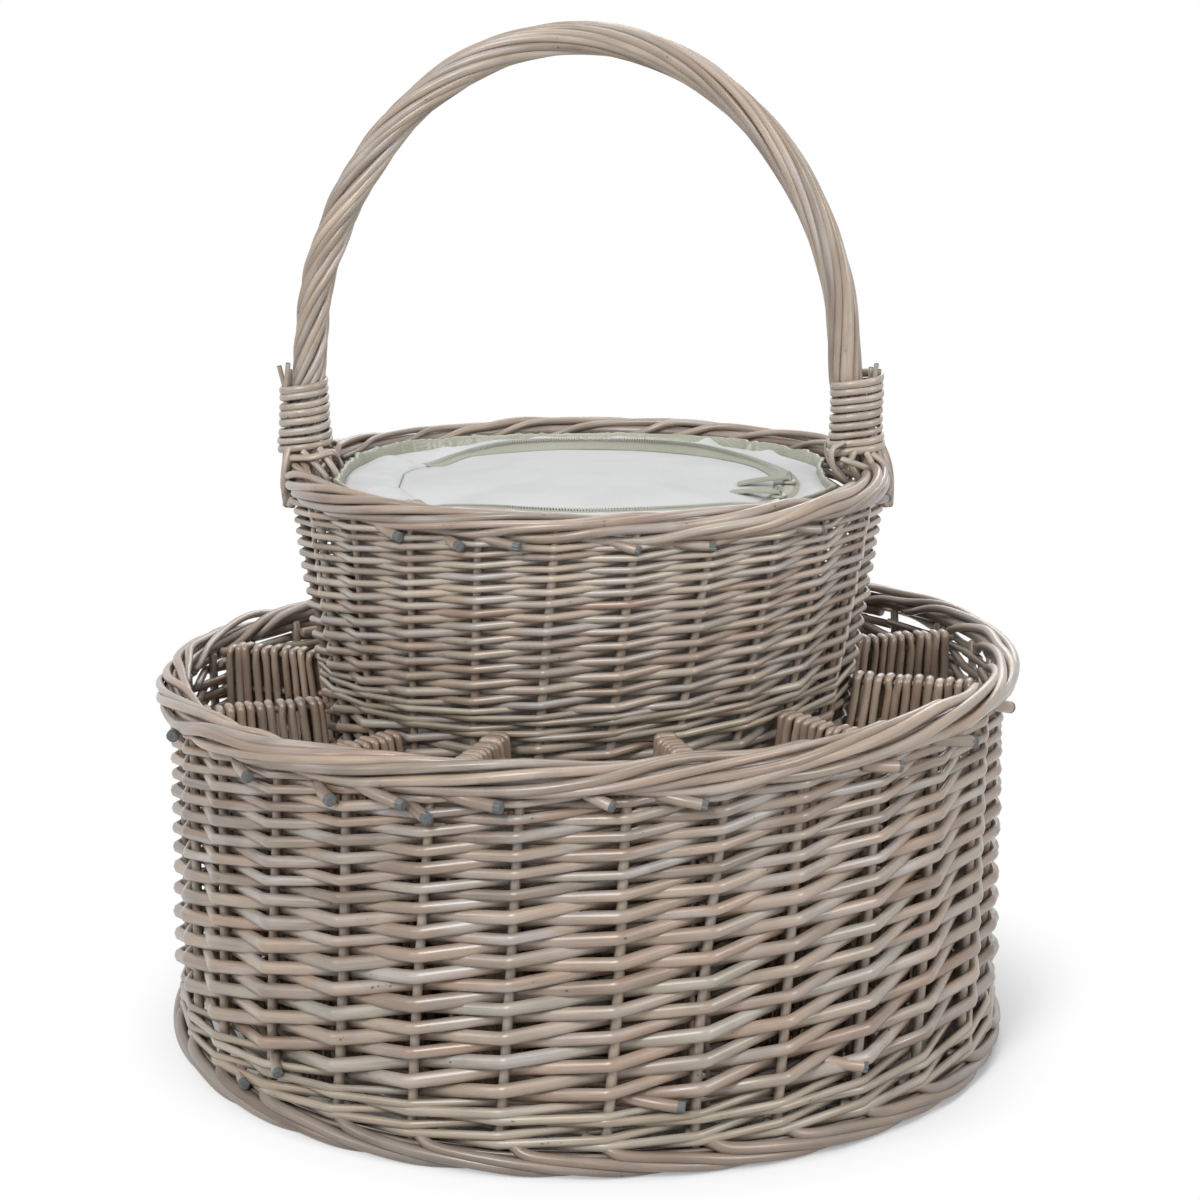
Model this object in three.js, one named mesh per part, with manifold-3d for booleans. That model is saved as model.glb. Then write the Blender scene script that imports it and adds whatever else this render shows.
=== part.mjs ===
// A round wicker drinks basket: an outer ring of twelve bottle places round an inner basket that
// holds a zipped soft cooler, with one tall bow handle.
// Millimetres, Z up, origin at the middle of the foot where the basket stands. Front is -Y, and
// the handle's bow stands in the XZ plane. Angles run from the front, anticlockwise from above.
import * as THREE from "three";
import { mergeVertices } from "three/addons/utils/BufferGeometryUtils.js";
import Module from "manifold-3d";

// Driving sizes of the wicker.
const RIM_RADIUS = 290;
const LOWER_RIM_TOP = 261;
const UPPER_RIM_RADIUS = 201;
const UPPER_RIM_TOP = 390;
const HANDLE_TOP = 676.5;
const INNER_FOOT_RADIUS = 148;
const OUTER_WALL = 20;
const INNER_WALL = 16;
const LOWER_RIM_ROPE = 24;
const UPPER_RIM_ROPE = 20;
const FOOT_ROPE = 22;
const FOOT_FLAT = 4.5;
const FOOT_PROUD = 2;
const RIM_OVERHANG = 7;
const UPPER_RIM_OVERHANG = 1;
const WALE_HEIGHT = 29.5;
const BASE_BOTTOM = 13;
const BASE_THICK = 13;
const BASE_STICK = 8;
const BASE_STICKS = 8;
const BASE_STICK_SHORT = 2;
const BAND_HEIGHT = 20;
const BAND_ABOVE_RIM = 2;

// Counts that the weave is set out from.
const OUTER_STAKES = 30;
const INNER_STAKES = 25;
const OUTER_STAKE_PHASE = rad(3);
const INNER_STAKE_PHASE = rad(6);
const DIVIDERS = 12;
const DIVIDER_PHASE = rad(15);

// How far a rod stands out over a stake, and how far the weave dips where it runs behind one.
const OVER = 3.2;
const UNDER = 2.8;
const ROD_ROWS_OUTER = 16;
const ROD_ROWS_WALE = 5;
const ROD_ROWS_INNER_LOWER = 8;
const ROD_ROWS_BAND = 4;
const ROD_ROWS_INNER_UPPER = 10;

// The rolled borders: how far round the rope each strand's groove reaches, as a share.
const ROPE_GROOVE = 0.86;
const RIM_TURNS = 6;
const RIM_STEPS = 48;
const UPPER_RIM_STEPS = 40;

// The dividers.
const DIVIDER_THICK = 15;
const DIVIDER_ROUND = 7;
const DIVIDER_WRAPS = 7;
const WRAP_DEPTH = 1.6;
const DIVIDER_CREST = 0.45;
const DIVIDER_BELOW_RIM_TOP = 12;

// The handle: a bow stick inside a bundle of twisted rods.
const BOW_STICK = 10;
const BOW_LEG_IN_WALL = 90;
const BOW_STEPS = 32;
const BOW_SIDES = 6;
const BUNDLE = 22;
const BUNDLE_STRANDS = 5;
const BUNDLE_TURNS = 5;
const BUNDLE_FOOT = 28;
const BUNDLE_FLARE_HEIGHT = 45;
const BUNDLE_STEPS = 40;
const BUNDLE_GROOVE = 0.87;
const BUNDLE_END_TILT = 0.12;
const HANDLE_NARROWS = 14;
const HANDLE_LEAN = -6;
const HANDLE_SPRING_ABOVE_RIM = 53;
const HANDLE_SHOULDER = 0.4;
const HANDLE_ARCH_POINTS = 10;
const PATH_HALVINGS = 40;

// The lashings round the handle's feet.
const LASHING_ROD = 4;
const LASHING_PITCH = 5.6;
const LASHING_SLACK = 0.6;
const LASHING_ABOVE_RIM = 7;
const LASHING_TURNS_LEFT = 8;
const LASHING_TURNS_RIGHT = 9;
const LASHING_STEPS = 12;
const LASHING_SIDES = 5;

// The soft cooler and its zip.
const BAG_SIDES = 36;
const BAG_GAP_TOP = 20.4;
const BAG_GAP_BOTTOM = 14;
const BAG_BELOW_RIM = 14;
const BAG_CLOTH = 1.8;
const BAG_FOAM = 6;
const BAG_LINER = 1.2;
const TOP_PANEL = 4;
const BINDING_PROUD = 3;
const BINDING_HEIGHT = 13;
const BINDING_GATHER = 1;
const BINDING_ABOVE_TOP = 0.5;
const BINDING_CROWN = 1.2;
const BINDING_SHOULDER = 2;
const ZIP_INSET = 30;
const ZIP_TAPE = 7;
const ZIP_TAPE_THICK = 2;
const ZIP_RIDGE = 1.2;
const ZIP_RIDGE_WIDTH = 2.2;
const ZIP_FACETS = 15;
const HINGE_INSET = 10;
const LID_FOAM = 8;
const LID_LINING = 1.2;
const LID_FOAM_INSET = 4;
const ZIP_END_GAP = rad(1.5);
const SLIDER_ANGLES = [rad(81), rad(72)];
const SLIDER_LENGTH = 13;
const SLIDER_WIDTH = 9;
const SLIDER_PLATE = 1.4;
const SLIDER_EAR = 3.6;
const SLIDER_CHAMFER = 2;
const SLIDER_TAPER = 1;
const EAR_HOLE = 3;
const EAR_WALL = 0.9;
const EAR_SUNK = 0.2;
const TAG_BAR = 1.5;
const TAG_THICK = 1.3;
const TAG_WIDTH = 9;
const TAG_LENGTH = 31;
const TAG_WINDOW = 4.2;
const TAG_DROOP = rad(6);
const TAG_CHAMFER = 3;
const TAG_PLAY = 0.5;

// The gap left between pieces that touch on the real basket, and how far a cutting tool or a
// joined piece reaches past the face that it works on.
const GAP = 0.3;
const LAP = 2;

// Heights and radii that follow from the sizes above.
const FOOT_TOP = FOOT_ROPE - FOOT_FLAT;
const WALL_RADIUS = RIM_RADIUS - RIM_OVERHANG - OVER;
const WALL_INSIDE = WALL_RADIUS - OUTER_WALL + OVER;
const WALE_BOTTOM = FOOT_TOP + GAP;
const WALE_TOP = WALE_BOTTOM + WALE_HEIGHT;
const WEAVE_BOTTOM = WALE_TOP + GAP;
const WEAVE_TOP = LOWER_RIM_TOP - LOWER_RIM_ROPE - GAP;
const BASE_TOP = BASE_BOTTOM + BASE_THICK;
const BASE_RADIUS = WALL_INSIDE - GAP;
const WALL_INSIDE_FLAT = WALL_INSIDE * Math.cos(Math.PI / (OUTER_STAKES * 2));
const INNER_BOTTOM = BASE_TOP + GAP;
const INNER_TOP = UPPER_RIM_TOP - UPPER_RIM_ROPE - GAP;
const INNER_TOP_RADIUS = UPPER_RIM_RADIUS - UPPER_RIM_OVERHANG - OVER;
const BAND_BOTTOM = LOWER_RIM_TOP - BAND_HEIGHT + BAND_ABOVE_RIM;
const BAND_TOP = BAND_BOTTOM + BAND_HEIGHT;
const DIVIDER_TOP = LOWER_RIM_TOP - DIVIDER_BELOW_RIM_TOP;
const UPPER_ROPE_RADIUS = UPPER_RIM_RADIUS - UPPER_RIM_ROPE / 2;
const LOWER_ROPE_RADIUS = RIM_RADIUS - LOWER_RIM_ROPE / 2;
const FOOT_ROPE_RADIUS = WALL_RADIUS + OVER + FOOT_PROUD - FOOT_ROPE / 2;
const BUNDLE_BOTTOM = UPPER_RIM_TOP + GAP;
const BAG_BOTTOM = BASE_TOP + GAP;
const BAG_TOP = UPPER_RIM_TOP - BAG_BELOW_RIM;
const BAG_TOP_RADIUS = innerInside(BAG_TOP) - BAG_GAP_TOP;
const BAG_BOTTOM_RADIUS = innerInside(BAG_BOTTOM) - BAG_GAP_BOTTOM;
const SHELL_TOP = BAG_TOP - TOP_PANEL - GAP;
const ZIP_RADIUS = BAG_TOP_RADIUS - ZIP_INSET;
const ZIP_SWEEP = (ZIP_FACETS * Math.PI * 2) / BAG_SIDES;
const LID_RADIUS = ZIP_RADIUS - ZIP_TAPE - GAP;
const HINGE_X = -(ZIP_RADIUS - HINGE_INSET);
const EAR_RADIUS = EAR_HOLE / 2 + EAR_WALL;
const SLIDER_BOTTOM = BAG_TOP + ZIP_RIDGE + GAP;
const EAR_Z = SLIDER_BOTTOM + SLIDER_PLATE + EAR_RADIUS - EAR_SUNK;

const willow = { roughness: 0.75, metalness: 0 };
const FINISH = {
  wall: new THREE.MeshStandardMaterial({ color: 0xab957f, ...willow }),
  wale: new THREE.MeshStandardMaterial({ color: 0xa59e86, ...willow }),
  rim: new THREE.MeshStandardMaterial({ color: 0xb39d86, ...willow }),
  divider: new THREE.MeshStandardMaterial({ color: 0x8c735d, ...willow }),
  stick: new THREE.MeshStandardMaterial({ color: 0x9a8570, ...willow }),
  handle: new THREE.MeshStandardMaterial({ color: 0xa38b74, ...willow }),
  lashing: new THREE.MeshStandardMaterial({ color: 0xc2b39b, ...willow }),
  cloth: new THREE.MeshStandardMaterial({ color: 0xdadbd8, roughness: 0.9, metalness: 0 }),
  foam: new THREE.MeshStandardMaterial({ color: 0xf1f1ee, roughness: 0.95, metalness: 0 }),
  liner: new THREE.MeshStandardMaterial({ color: 0xc9ccce, roughness: 0.35, metalness: 0.6 }),
  sage: new THREE.MeshStandardMaterial({ color: 0xc5cab4, roughness: 0.7, metalness: 0 }),
  slider: new THREE.MeshStandardMaterial({ color: 0xb9bfae, roughness: 0.4, metalness: 0.7 }),
};

const wasm = await Module();
wasm.setup();

function rad(degrees) {
  return (degrees * Math.PI) / 180;
}

function mix(a, b, t) {
  return a + (b - a) * t;
}

// A point at a radius and an angle from the front, at a height.
function around(radius, angle, z) {
  return new THREE.Vector3(radius * Math.sin(angle), -radius * Math.cos(angle), z);
}

// The inner wall leans outwards: its outer and inner faces at a height.
function innerFace(z) {
  const rise = (z - INNER_BOTTOM) / (INNER_TOP - INNER_BOTTOM);
  return mix(INNER_FOOT_RADIUS, INNER_TOP_RADIUS, rise);
}

function innerInside(z) {
  return innerFace(z) + OVER - INNER_WALL;
}

// Triangles that close one flat end of a loft.
function capTriangles(ring) {
  const normal = new THREE.Vector3();
  ring.forEach((point, i) => {
    normal.add(point.clone().cross(ring[(i + 1) % ring.length]));
  });
  const origin = ring[0];
  const across = ring[1].clone().sub(origin).normalize();
  const up = normal.normalize().cross(across);
  const flat = ring.map((point) => {
    const offset = point.clone().sub(origin);
    return new THREE.Vector2(offset.dot(across), offset.dot(up));
  });
  return THREE.ShapeUtils.triangulateShape(flat, []);
}

// Skins a row of cross-sections, all with the same number of points, into one closed solid.
function loft(rings, closed = false) {
  const sides = rings[0].length;
  const index = [];
  const spans = closed ? rings.length : rings.length - 1;
  for (let i = 0; i < spans; i++) {
    const here = i * sides;
    const next = ((i + 1) % rings.length) * sides;
    for (let j = 0; j < sides; j++) {
      const k = (j + 1) % sides;
      index.push(here + j, next + j, next + k, here + j, next + k, here + k);
    }
  }
  if (!closed) {
    const last = (rings.length - 1) * sides;
    capTriangles(rings[0]).forEach(([a, b, c]) => index.push(a, b, c));
    capTriangles(rings[rings.length - 1]).forEach(([a, b, c]) => index.push(last + c, last + b, last + a));
  }
  const geometry = new THREE.BufferGeometry().setFromPoints(rings.flat());
  geometry.setIndex(signedVolume(rings.flat(), index) < 0 ? index.reverse() : index);
  return geometry;
}

function signedVolume(points, index) {
  let total = 0;
  for (let i = 0; i < index.length; i += 3) {
    const [a, b, c] = [points[index[i]], points[index[i + 1]], points[index[i + 2]]];
    total += a.dot(b.clone().cross(c));
  }
  return total / 6;
}

// A solid turned from a closed profile of [radius, z] pairs, with its facets set out like the stakes.
function turned(profile, sides, phase = 0) {
  const points = profile.map(([radius, z]) => new THREE.Vector2(radius, z));
  const geometry = new THREE.LatheGeometry([...points, points[0]], sides, phase);
  return geometry.rotateX(Math.PI / 2);
}

// A flat ring between two radii and two heights.
function washer(inner, outer, bottom, top) {
  const profile = [
    [inner, bottom],
    [outer, bottom],
    [outer, top],
    [inner, top],
  ];
  return turned(profile, BAG_SIDES);
}

// A disc between two heights.
function disc(radius, bottom, top, sides = BAG_SIDES, phase = 0) {
  const profile = [
    [0, bottom],
    [radius, bottom],
    [radius, top],
    [0, top],
  ];
  return turned(profile, sides, phase);
}

// Booleans: a geometry becomes a solid for joining or cutting, and comes back as a geometry.
function asSolid(geometry) {
  const bare = geometry.clone();
  bare.deleteAttribute("normal");
  bare.deleteAttribute("uv");
  const merged = mergeVertices(bare, 1e-4);
  const mesh = new wasm.Mesh({
    numProp: 3,
    vertProperties: Float32Array.from(merged.attributes.position.array),
    triVerts: Uint32Array.from(merged.index.array),
  });
  return new wasm.Manifold(mesh);
}

function asGeometry(solid) {
  const mesh = solid.getMesh();
  const geometry = new THREE.BufferGeometry();
  geometry.setAttribute("position", new THREE.BufferAttribute(Float32Array.from(mesh.vertProperties), 3));
  geometry.setIndex([...mesh.triVerts]);
  return geometry;
}

function cut(geometry, ...tools) {
  const solid = tools.reduce((left, tool) => left.subtract(asSolid(tool)), asSolid(geometry));
  return asGeometry(solid);
}

function join(...geometries) {
  const [first, ...rest] = geometries.map(asSolid);
  return asGeometry(rest.reduce((sum, solid) => sum.add(solid), first));
}

// A woven band round the axis. Two columns a stake: on the stake the rows of rods stand out and dip
// by turns, and between stakes every rod crosses the middle of the wall.
function wovenBand({ bottom, top, rows, face, wall, stakes, phase }) {
  const rings = [];
  for (let column = 0; column < stakes * 2; column++) {
    const angle = phase + (column * Math.PI) / stakes;
    const onStake = column % 2 === 0;
    const ring = [];
    for (let row = 0; row <= rows; row++) {
      const z = mix(bottom, top, row / rows);
      const swell = row % 2 === 0 ? OVER : -UNDER;
      ring.push(around(face(z) + (onStake ? swell : 0), angle, z));
    }
    ring.push(around(face(top) + OVER - wall, angle, top));
    ring.push(around(face(bottom) + OVER - wall, angle, bottom));
    rings.push(ring);
  }
  return loft(rings, true);
}

// A rolled border: a ring of strands that turn round each other, like a loose rope. What would
// reach below its floor is worn flat there.
function rolledBorder({ radius, z, thick, strands, turns, steps, floor = -Infinity }) {
  const rings = [];
  const points = strands * 2;
  for (let step = 0; step < steps; step++) {
    const angle = (step * Math.PI * 2) / steps;
    const roll = angle * turns;
    const ring = [];
    for (let i = 0; i < points; i++) {
      const turn = roll + (i * Math.PI * 2) / points;
      const reach = (thick / 2) * (i % 2 === 0 ? 1 : ROPE_GROOVE);
      const height = Math.max(floor, z + reach * Math.sin(turn));
      ring.push(around(radius + reach * Math.cos(turn), angle, height));
    }
    rings.push(ring);
  }
  return loft(rings, true);
}

// Cross-sections along a path in the XZ plane, from one share of its length to another.
function sectionsAlong(path, from, to, steps, sectionAt) {
  const side = new THREE.Vector3(0, 1, 0);
  const rings = [];
  for (let step = 0; step <= steps; step++) {
    const share = mix(from, to, step / steps);
    const centre = path.getPointAt(share);
    const out = side.clone().cross(path.getTangentAt(share)).normalize();
    const ring = sectionAt(step / steps).map(([a, b]) =>
      centre.clone().addScaledVector(out, a).addScaledVector(side, b),
    );
    rings.push(ring);
  }
  return rings;
}

function circlePoints(radius, sides, turn = 0) {
  return Array.from({ length: sides }, (_, i) => {
    const angle = turn + (i * Math.PI * 2) / sides;
    return [radius * Math.cos(angle), radius * Math.sin(angle)];
  });
}

// The foot: the rolled border that the basket stands on, worn flat underneath.
function makeFootBorder() {
  return rolledBorder({
    radius: FOOT_ROPE_RADIUS,
    z: FOOT_ROPE / 2 - FOOT_FLAT,
    thick: FOOT_ROPE,
    strands: 4,
    turns: RIM_TURNS,
    steps: RIM_STEPS,
    floor: 0,
  });
}

// The sticks across the base, crossing at the middle, in the underside of the woven disc.
function baseSticks(radius, length) {
  const sticks = [];
  for (let i = 0; i < BASE_STICKS; i++) {
    const stick = new THREE.CylinderGeometry(radius, radius, length, 6);
    stick.rotateZ(Math.PI / 2);
    stick.rotateZ((i * Math.PI) / BASE_STICKS);
    stick.translate(0, 0, BASE_BOTTOM);
    sticks.push(stick);
  }
  return join(...sticks);
}

function makeBaseWeave() {
  const weave = disc(BASE_RADIUS, BASE_BOTTOM, BASE_TOP, OUTER_STAKES * 2, OUTER_STAKE_PHASE);
  return cut(weave, baseSticks(BASE_STICK / 2 + GAP, (BASE_RADIUS + LAP) * 2));
}

function makeBaseWale() {
  return wovenBand({
    bottom: WALE_BOTTOM,
    top: WALE_TOP,
    rows: ROD_ROWS_WALE,
    face: () => WALL_RADIUS,
    wall: OUTER_WALL,
    stakes: OUTER_STAKES,
    phase: OUTER_STAKE_PHASE,
  });
}

function makeOuterWeave() {
  return wovenBand({
    bottom: WEAVE_BOTTOM,
    top: WEAVE_TOP,
    rows: ROD_ROWS_OUTER,
    face: () => WALL_RADIUS,
    wall: OUTER_WALL,
    stakes: OUTER_STAKES,
    phase: OUTER_STAKE_PHASE,
  });
}

function makeLowerRim() {
  return rolledBorder({
    radius: LOWER_ROPE_RADIUS,
    z: LOWER_RIM_TOP - LOWER_RIM_ROPE / 2,
    thick: LOWER_RIM_ROPE,
    strands: 5,
    turns: RIM_TURNS,
    steps: RIM_STEPS,
  });
}

// A band of the inner basket's wall, with the channels that the bow's legs run down.
function makeInnerBand(bottom, top, rows, path) {
  const band = wovenBand({
    bottom,
    top,
    rows,
    face: innerFace,
    wall: INNER_WALL,
    stakes: INNER_STAKES,
    phase: INNER_STAKE_PHASE,
  });
  return cut(band, bowChannel(path));
}

function makeUpperRim(path) {
  const rope = rolledBorder({
    radius: UPPER_ROPE_RADIUS,
    z: UPPER_RIM_TOP - UPPER_RIM_ROPE / 2,
    thick: UPPER_RIM_ROPE,
    strands: 4,
    turns: RIM_TURNS,
    steps: UPPER_RIM_STEPS,
  });
  return cut(rope, bowChannel(path));
}

// One divider: rods wrapped over its cross sticks, from the inner wall to the outer wall, with a
// rounded top. Its inner end leans as the inner wall does.
function makeDivider(angle) {
  const outer = WALL_INSIDE_FLAT - GAP;
  const levels = [
    [BASE_TOP + GAP, 1],
    [DIVIDER_TOP - DIVIDER_ROUND, 1],
    [DIVIDER_TOP, DIVIDER_CREST],
  ];
  const rings = levels.map(([z, fullness]) => {
    const inner = innerFace(z) + OVER + GAP;
    const side = [];
    for (let i = 0; i <= DIVIDER_WRAPS * 2; i++) {
      const reach = mix(inner, outer, i / (DIVIDER_WRAPS * 2));
      const half = (DIVIDER_THICK / 2 - (i % 2 === 0 ? WRAP_DEPTH : 0)) * fullness;
      side.push([reach, half]);
    }
    const back = side.map(([reach, half]) => [reach, -half]).reverse();
    return [...side, ...back].map(([reach, half]) => {
      const radial = around(reach, angle, z);
      return radial.add(around(half, angle + Math.PI / 2, 0));
    });
  });
  return loft(rings);
}

// The bow's centreline: two legs down in the inner wall, and a half ellipse that leans a little.
function handlePath() {
  const ropeMiddle = UPPER_RIM_TOP - UPPER_RIM_ROPE / 2;
  const wallMiddle = (z) => innerFace(z) + OVER - INNER_WALL / 2;
  const legX = (wallMiddle(INNER_TOP) + UPPER_ROPE_RADIUS) / 2;
  const spring = UPPER_RIM_TOP + HANDLE_SPRING_ABOVE_RIM;
  const halfWidth = legX - HANDLE_NARROWS;
  const rise = HANDLE_TOP - BUNDLE / 2 - spring;
  const legBottom = INNER_TOP - BOW_LEG_IN_WALL;
  const legMiddle = INNER_TOP - BOW_LEG_IN_WALL / 2;
  const leg = (side) => {
    const shoulderX = mix(side * legX, HANDLE_LEAN + side * halfWidth, HANDLE_SHOULDER);
    return [
      new THREE.Vector3(side * wallMiddle(legBottom), 0, legBottom),
      new THREE.Vector3(side * wallMiddle(legMiddle), 0, legMiddle),
      new THREE.Vector3(side * legX, 0, ropeMiddle),
      new THREE.Vector3(shoulderX, 0, mix(ropeMiddle, spring, 0.5)),
    ];
  };
  const arch = [];
  for (let i = 0; i <= HANDLE_ARCH_POINTS; i++) {
    const swing = mix(-Math.PI / 2, Math.PI / 2, i / HANDLE_ARCH_POINTS);
    const x = HANDLE_LEAN + halfWidth * Math.sin(swing);
    arch.push(new THREE.Vector3(x, 0, spring + rise * Math.cos(swing)));
  }
  return new THREE.CatmullRomCurve3([...leg(-1), ...arch, ...leg(1).reverse()], false, "centripetal");
}

// The share of the path at which one of its legs reaches a height.
function shareAtHeight(path, z, rightLeg) {
  let low = 0;
  let high = 0.5;
  for (let i = 0; i < PATH_HALVINGS; i++) {
    const middle = (low + high) / 2;
    const point = path.getPointAt(rightLeg ? 1 - middle : middle);
    if (point.z < z) low = middle;
    else high = middle;
  }
  return rightLeg ? 1 - low : low;
}

// The bow stick at a radius, which is also the tool that cuts the channel it runs in.
function bowAt(path, radius, below = 0) {
  const rings = sectionsAlong(path, 0, 1, BOW_STEPS, () => circlePoints(radius, BOW_SIDES));
  const drop = (ring) => ring.map((point) => point.clone().setZ(point.z - below));
  return below > 0 ? loft([drop(rings[0]), ...rings, drop(rings[BOW_STEPS])]) : loft(rings);
}

function bowChannel(path) {
  return bowAt(path, BOW_STICK / 2 + GAP, LAP);
}

// How thick the bundle of rods is at a height: it spreads towards the rim.
function bundleRadius(z) {
  const spread = 1 - Math.min(1, (z - BUNDLE_BOTTOM) / BUNDLE_FLARE_HEIGHT);
  return mix(BUNDLE, BUNDLE_FOOT, spread * spread) / 2;
}

// The twisted rods. The path leans at its feet, so an end section tilts and starts that much higher.
function makeHandleRods(path) {
  const endHeight = BUNDLE_BOTTOM + bundleRadius(BUNDLE_BOTTOM) * BUNDLE_END_TILT;
  const from = shareAtHeight(path, endHeight, false);
  const to = shareAtHeight(path, endHeight, true);
  const points = BUNDLE_STRANDS * 2;
  const rings = sectionsAlong(path, from, to, BUNDLE_STEPS, (share) => {
    const z = path.getPointAt(mix(from, to, share)).z;
    const turn = share * BUNDLE_TURNS * Math.PI * 2;
    return circlePoints(1, points, turn).map(([a, b], i) => {
      const reach = bundleRadius(z) * (i % 2 === 0 ? 1 : BUNDLE_GROOVE);
      return [a * reach, b * reach];
    });
  });
  return cut(loft(rings), bowChannel(path));
}

// One lashing: an unbroken rod wound round a foot of the handle.
function makeLashing(path, rightLeg, turns) {
  const start = shareAtHeight(path, UPPER_RIM_TOP + LASHING_ABOVE_RIM, rightLeg);
  const stride = ((rightLeg ? -1 : 1) * LASHING_PITCH) / LASHING_STEPS / path.getLength();
  const side = new THREE.Vector3(0, 1, 0);
  const turnsMade = Array.from({ length: turns * LASHING_STEPS + 1 }, (_, step) => {
    const share = start + step * stride;
    const axis = path.getPointAt(share);
    const out = side.clone().cross(path.getTangentAt(share)).normalize();
    const reach = bundleRadius(axis.z) + LASHING_SLACK + LASHING_ROD / 2;
    const angle = (step * Math.PI * 2) / LASHING_STEPS;
    const centre = axis.clone();
    centre.addScaledVector(out, reach * Math.cos(angle));
    centre.addScaledVector(side, reach * Math.sin(angle));
    return { axis, centre };
  });
  const centres = turnsMade.map(({ centre }) => centre);
  reportOwnGap(rightLeg ? "right lashing" : "left lashing", centres);
  const rings = turnsMade.map(({ axis, centre }, i) => {
    const before = centres[Math.max(0, i - 1)];
    const after = centres[Math.min(centres.length - 1, i + 1)];
    const along = after.clone().sub(before).normalize();
    const out = centre.clone().sub(axis);
    out.addScaledVector(along, -out.dot(along)).normalize();
    const up = along.clone().cross(out);
    return circlePoints(LASHING_ROD / 2, LASHING_SIDES, Math.PI / LASHING_SIDES).map(([a, b]) =>
      centre.clone().addScaledVector(out, a).addScaledVector(up, b),
    );
  });
  return loft(rings);
}

// Prints the least gap between one turn of a winding and another.
function reportOwnGap(name, centres) {
  let least = Infinity;
  centres.forEach((a, i) => {
    for (let j = i + Math.floor(LASHING_STEPS / 2); j < centres.length; j++) {
      least = Math.min(least, a.distanceTo(centres[j]) - LASHING_ROD);
    }
  });
  console.log(`${name}: least gap to itself ${least.toFixed(2)} mm`);
}

// The cooler's side wall, as nested tapered cups: cloth, foam and liner.
function bagRadius(z) {
  return mix(BAG_BOTTOM_RADIUS, BAG_TOP_RADIUS, (z - BAG_BOTTOM) / (SHELL_TOP - BAG_BOTTOM));
}

function bagCup(inset, wall) {
  const bottom = BAG_BOTTOM + inset;
  return turned(
    [
      [0, bottom],
      [bagRadius(bottom) - inset, bottom],
      [bagRadius(SHELL_TOP) - inset, SHELL_TOP],
      [bagRadius(SHELL_TOP) - inset - wall, SHELL_TOP],
      [bagRadius(bottom + wall) - inset - wall, bottom + wall],
      [0, bottom + wall],
    ],
    BAG_SIDES,
  );
}

// A block that fills one side of a line across the bag, for a straight cut along the hinge. The
// side is 1 for what lies towards the zip and -1 for what lies beyond the hinge.
function blockBeside(x, side) {
  const size = BAG_TOP_RADIUS * 4;
  const box = new THREE.BoxGeometry(size, size, size);
  return box.translate(x + (side * size) / 2, 0, BAG_TOP);
}

// The top's ring of cloth round the zip, with the lug that reaches in to the lid's hinge.
function makeTopPanel() {
  const tapeEdge = ZIP_RADIUS + ZIP_TAPE;
  const ring = washer(tapeEdge + GAP, BAG_TOP_RADIUS, SHELL_TOP + GAP, BAG_TOP);
  const lug = cut(
    disc(tapeEdge + LAP, SHELL_TOP + GAP, BAG_TOP),
    blockBeside(HINGE_X - GAP / 2, 1),
    zipWedge(tapeEdge + LAP * 2, ZIP_SWEEP + ZIP_END_GAP),
  );
  return join(ring, lug);
}

// A wedge through the top that takes in all the angles that the zip reaches, for cutting.
function zipWedge(radius, sweep) {
  const shape = new THREE.Shape();
  const steps = ZIP_FACETS * 2;
  shape.moveTo(0, 0);
  for (let i = 0; i <= steps; i++) {
    const angle = mix(-sweep, sweep, i / steps);
    shape.lineTo(radius * Math.cos(angle), radius * Math.sin(angle));
  }
  const geometry = new THREE.ExtrudeGeometry(shape, { depth: TOP_PANEL + LAP * 2, bevelEnabled: false });
  return geometry.translate(0, 0, SHELL_TOP + GAP - LAP);
}

// A zip tape: an open ring, raised into a ridge of teeth along its meeting edge.
function zipTape(meeting, far) {
  const steps = ZIP_FACETS * 2;
  const inward = Math.sign(far - meeting);
  const rings = [];
  for (let step = 0; step <= steps; step++) {
    const angle = Math.PI / 2 + mix(-ZIP_SWEEP, ZIP_SWEEP, step / steps);
    const bottom = BAG_TOP - ZIP_TAPE_THICK;
    const ridge = meeting + inward * ZIP_RIDGE_WIDTH;
    rings.push([
      around(meeting, angle, bottom),
      around(far, angle, bottom),
      around(far, angle, BAG_TOP),
      around(ridge, angle, BAG_TOP),
      around(ridge, angle, BAG_TOP + ZIP_RIDGE),
      around(meeting, angle, BAG_TOP + ZIP_RIDGE),
    ]);
  }
  return loft(rings);
}

function makeLid() {
  return cut(disc(LID_RADIUS, SHELL_TOP + GAP, BAG_TOP), blockBeside(HINGE_X + GAP / 2, -1));
}

// The foam under the lid, and the lining below it.
function lidLayer(drop, thick) {
  const top = SHELL_TOP - drop;
  const layer = disc(LID_RADIUS - LID_FOAM_INSET, top - thick, top);
  return cut(layer, blockBeside(HINGE_X + LID_FOAM_INSET / 2, -1));
}

// The binding: a soft gathered roll round the top edge of the bag.
function makeBinding() {
  const rings = [];
  for (let step = 0; step < BAG_SIDES; step++) {
    const angle = (step * Math.PI * 2) / BAG_SIDES;
    const gather = step % 2 === 0 ? 0 : BINDING_GATHER;
    const inside = BAG_TOP_RADIUS + GAP;
    const outside = BAG_TOP_RADIUS + BINDING_PROUD - gather;
    const top = BAG_TOP + BINDING_ABOVE_TOP;
    rings.push([
      around(inside, angle, top - BINDING_HEIGHT),
      around(outside, angle, top - BINDING_HEIGHT + BINDING_PROUD),
      around(outside, angle, top - BINDING_SHOULDER),
      around(inside + GAP * 2, angle, top + BINDING_CROWN - gather),
      around(inside, angle, top),
    ]);
  }
  return loft(rings, true);
}

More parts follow.
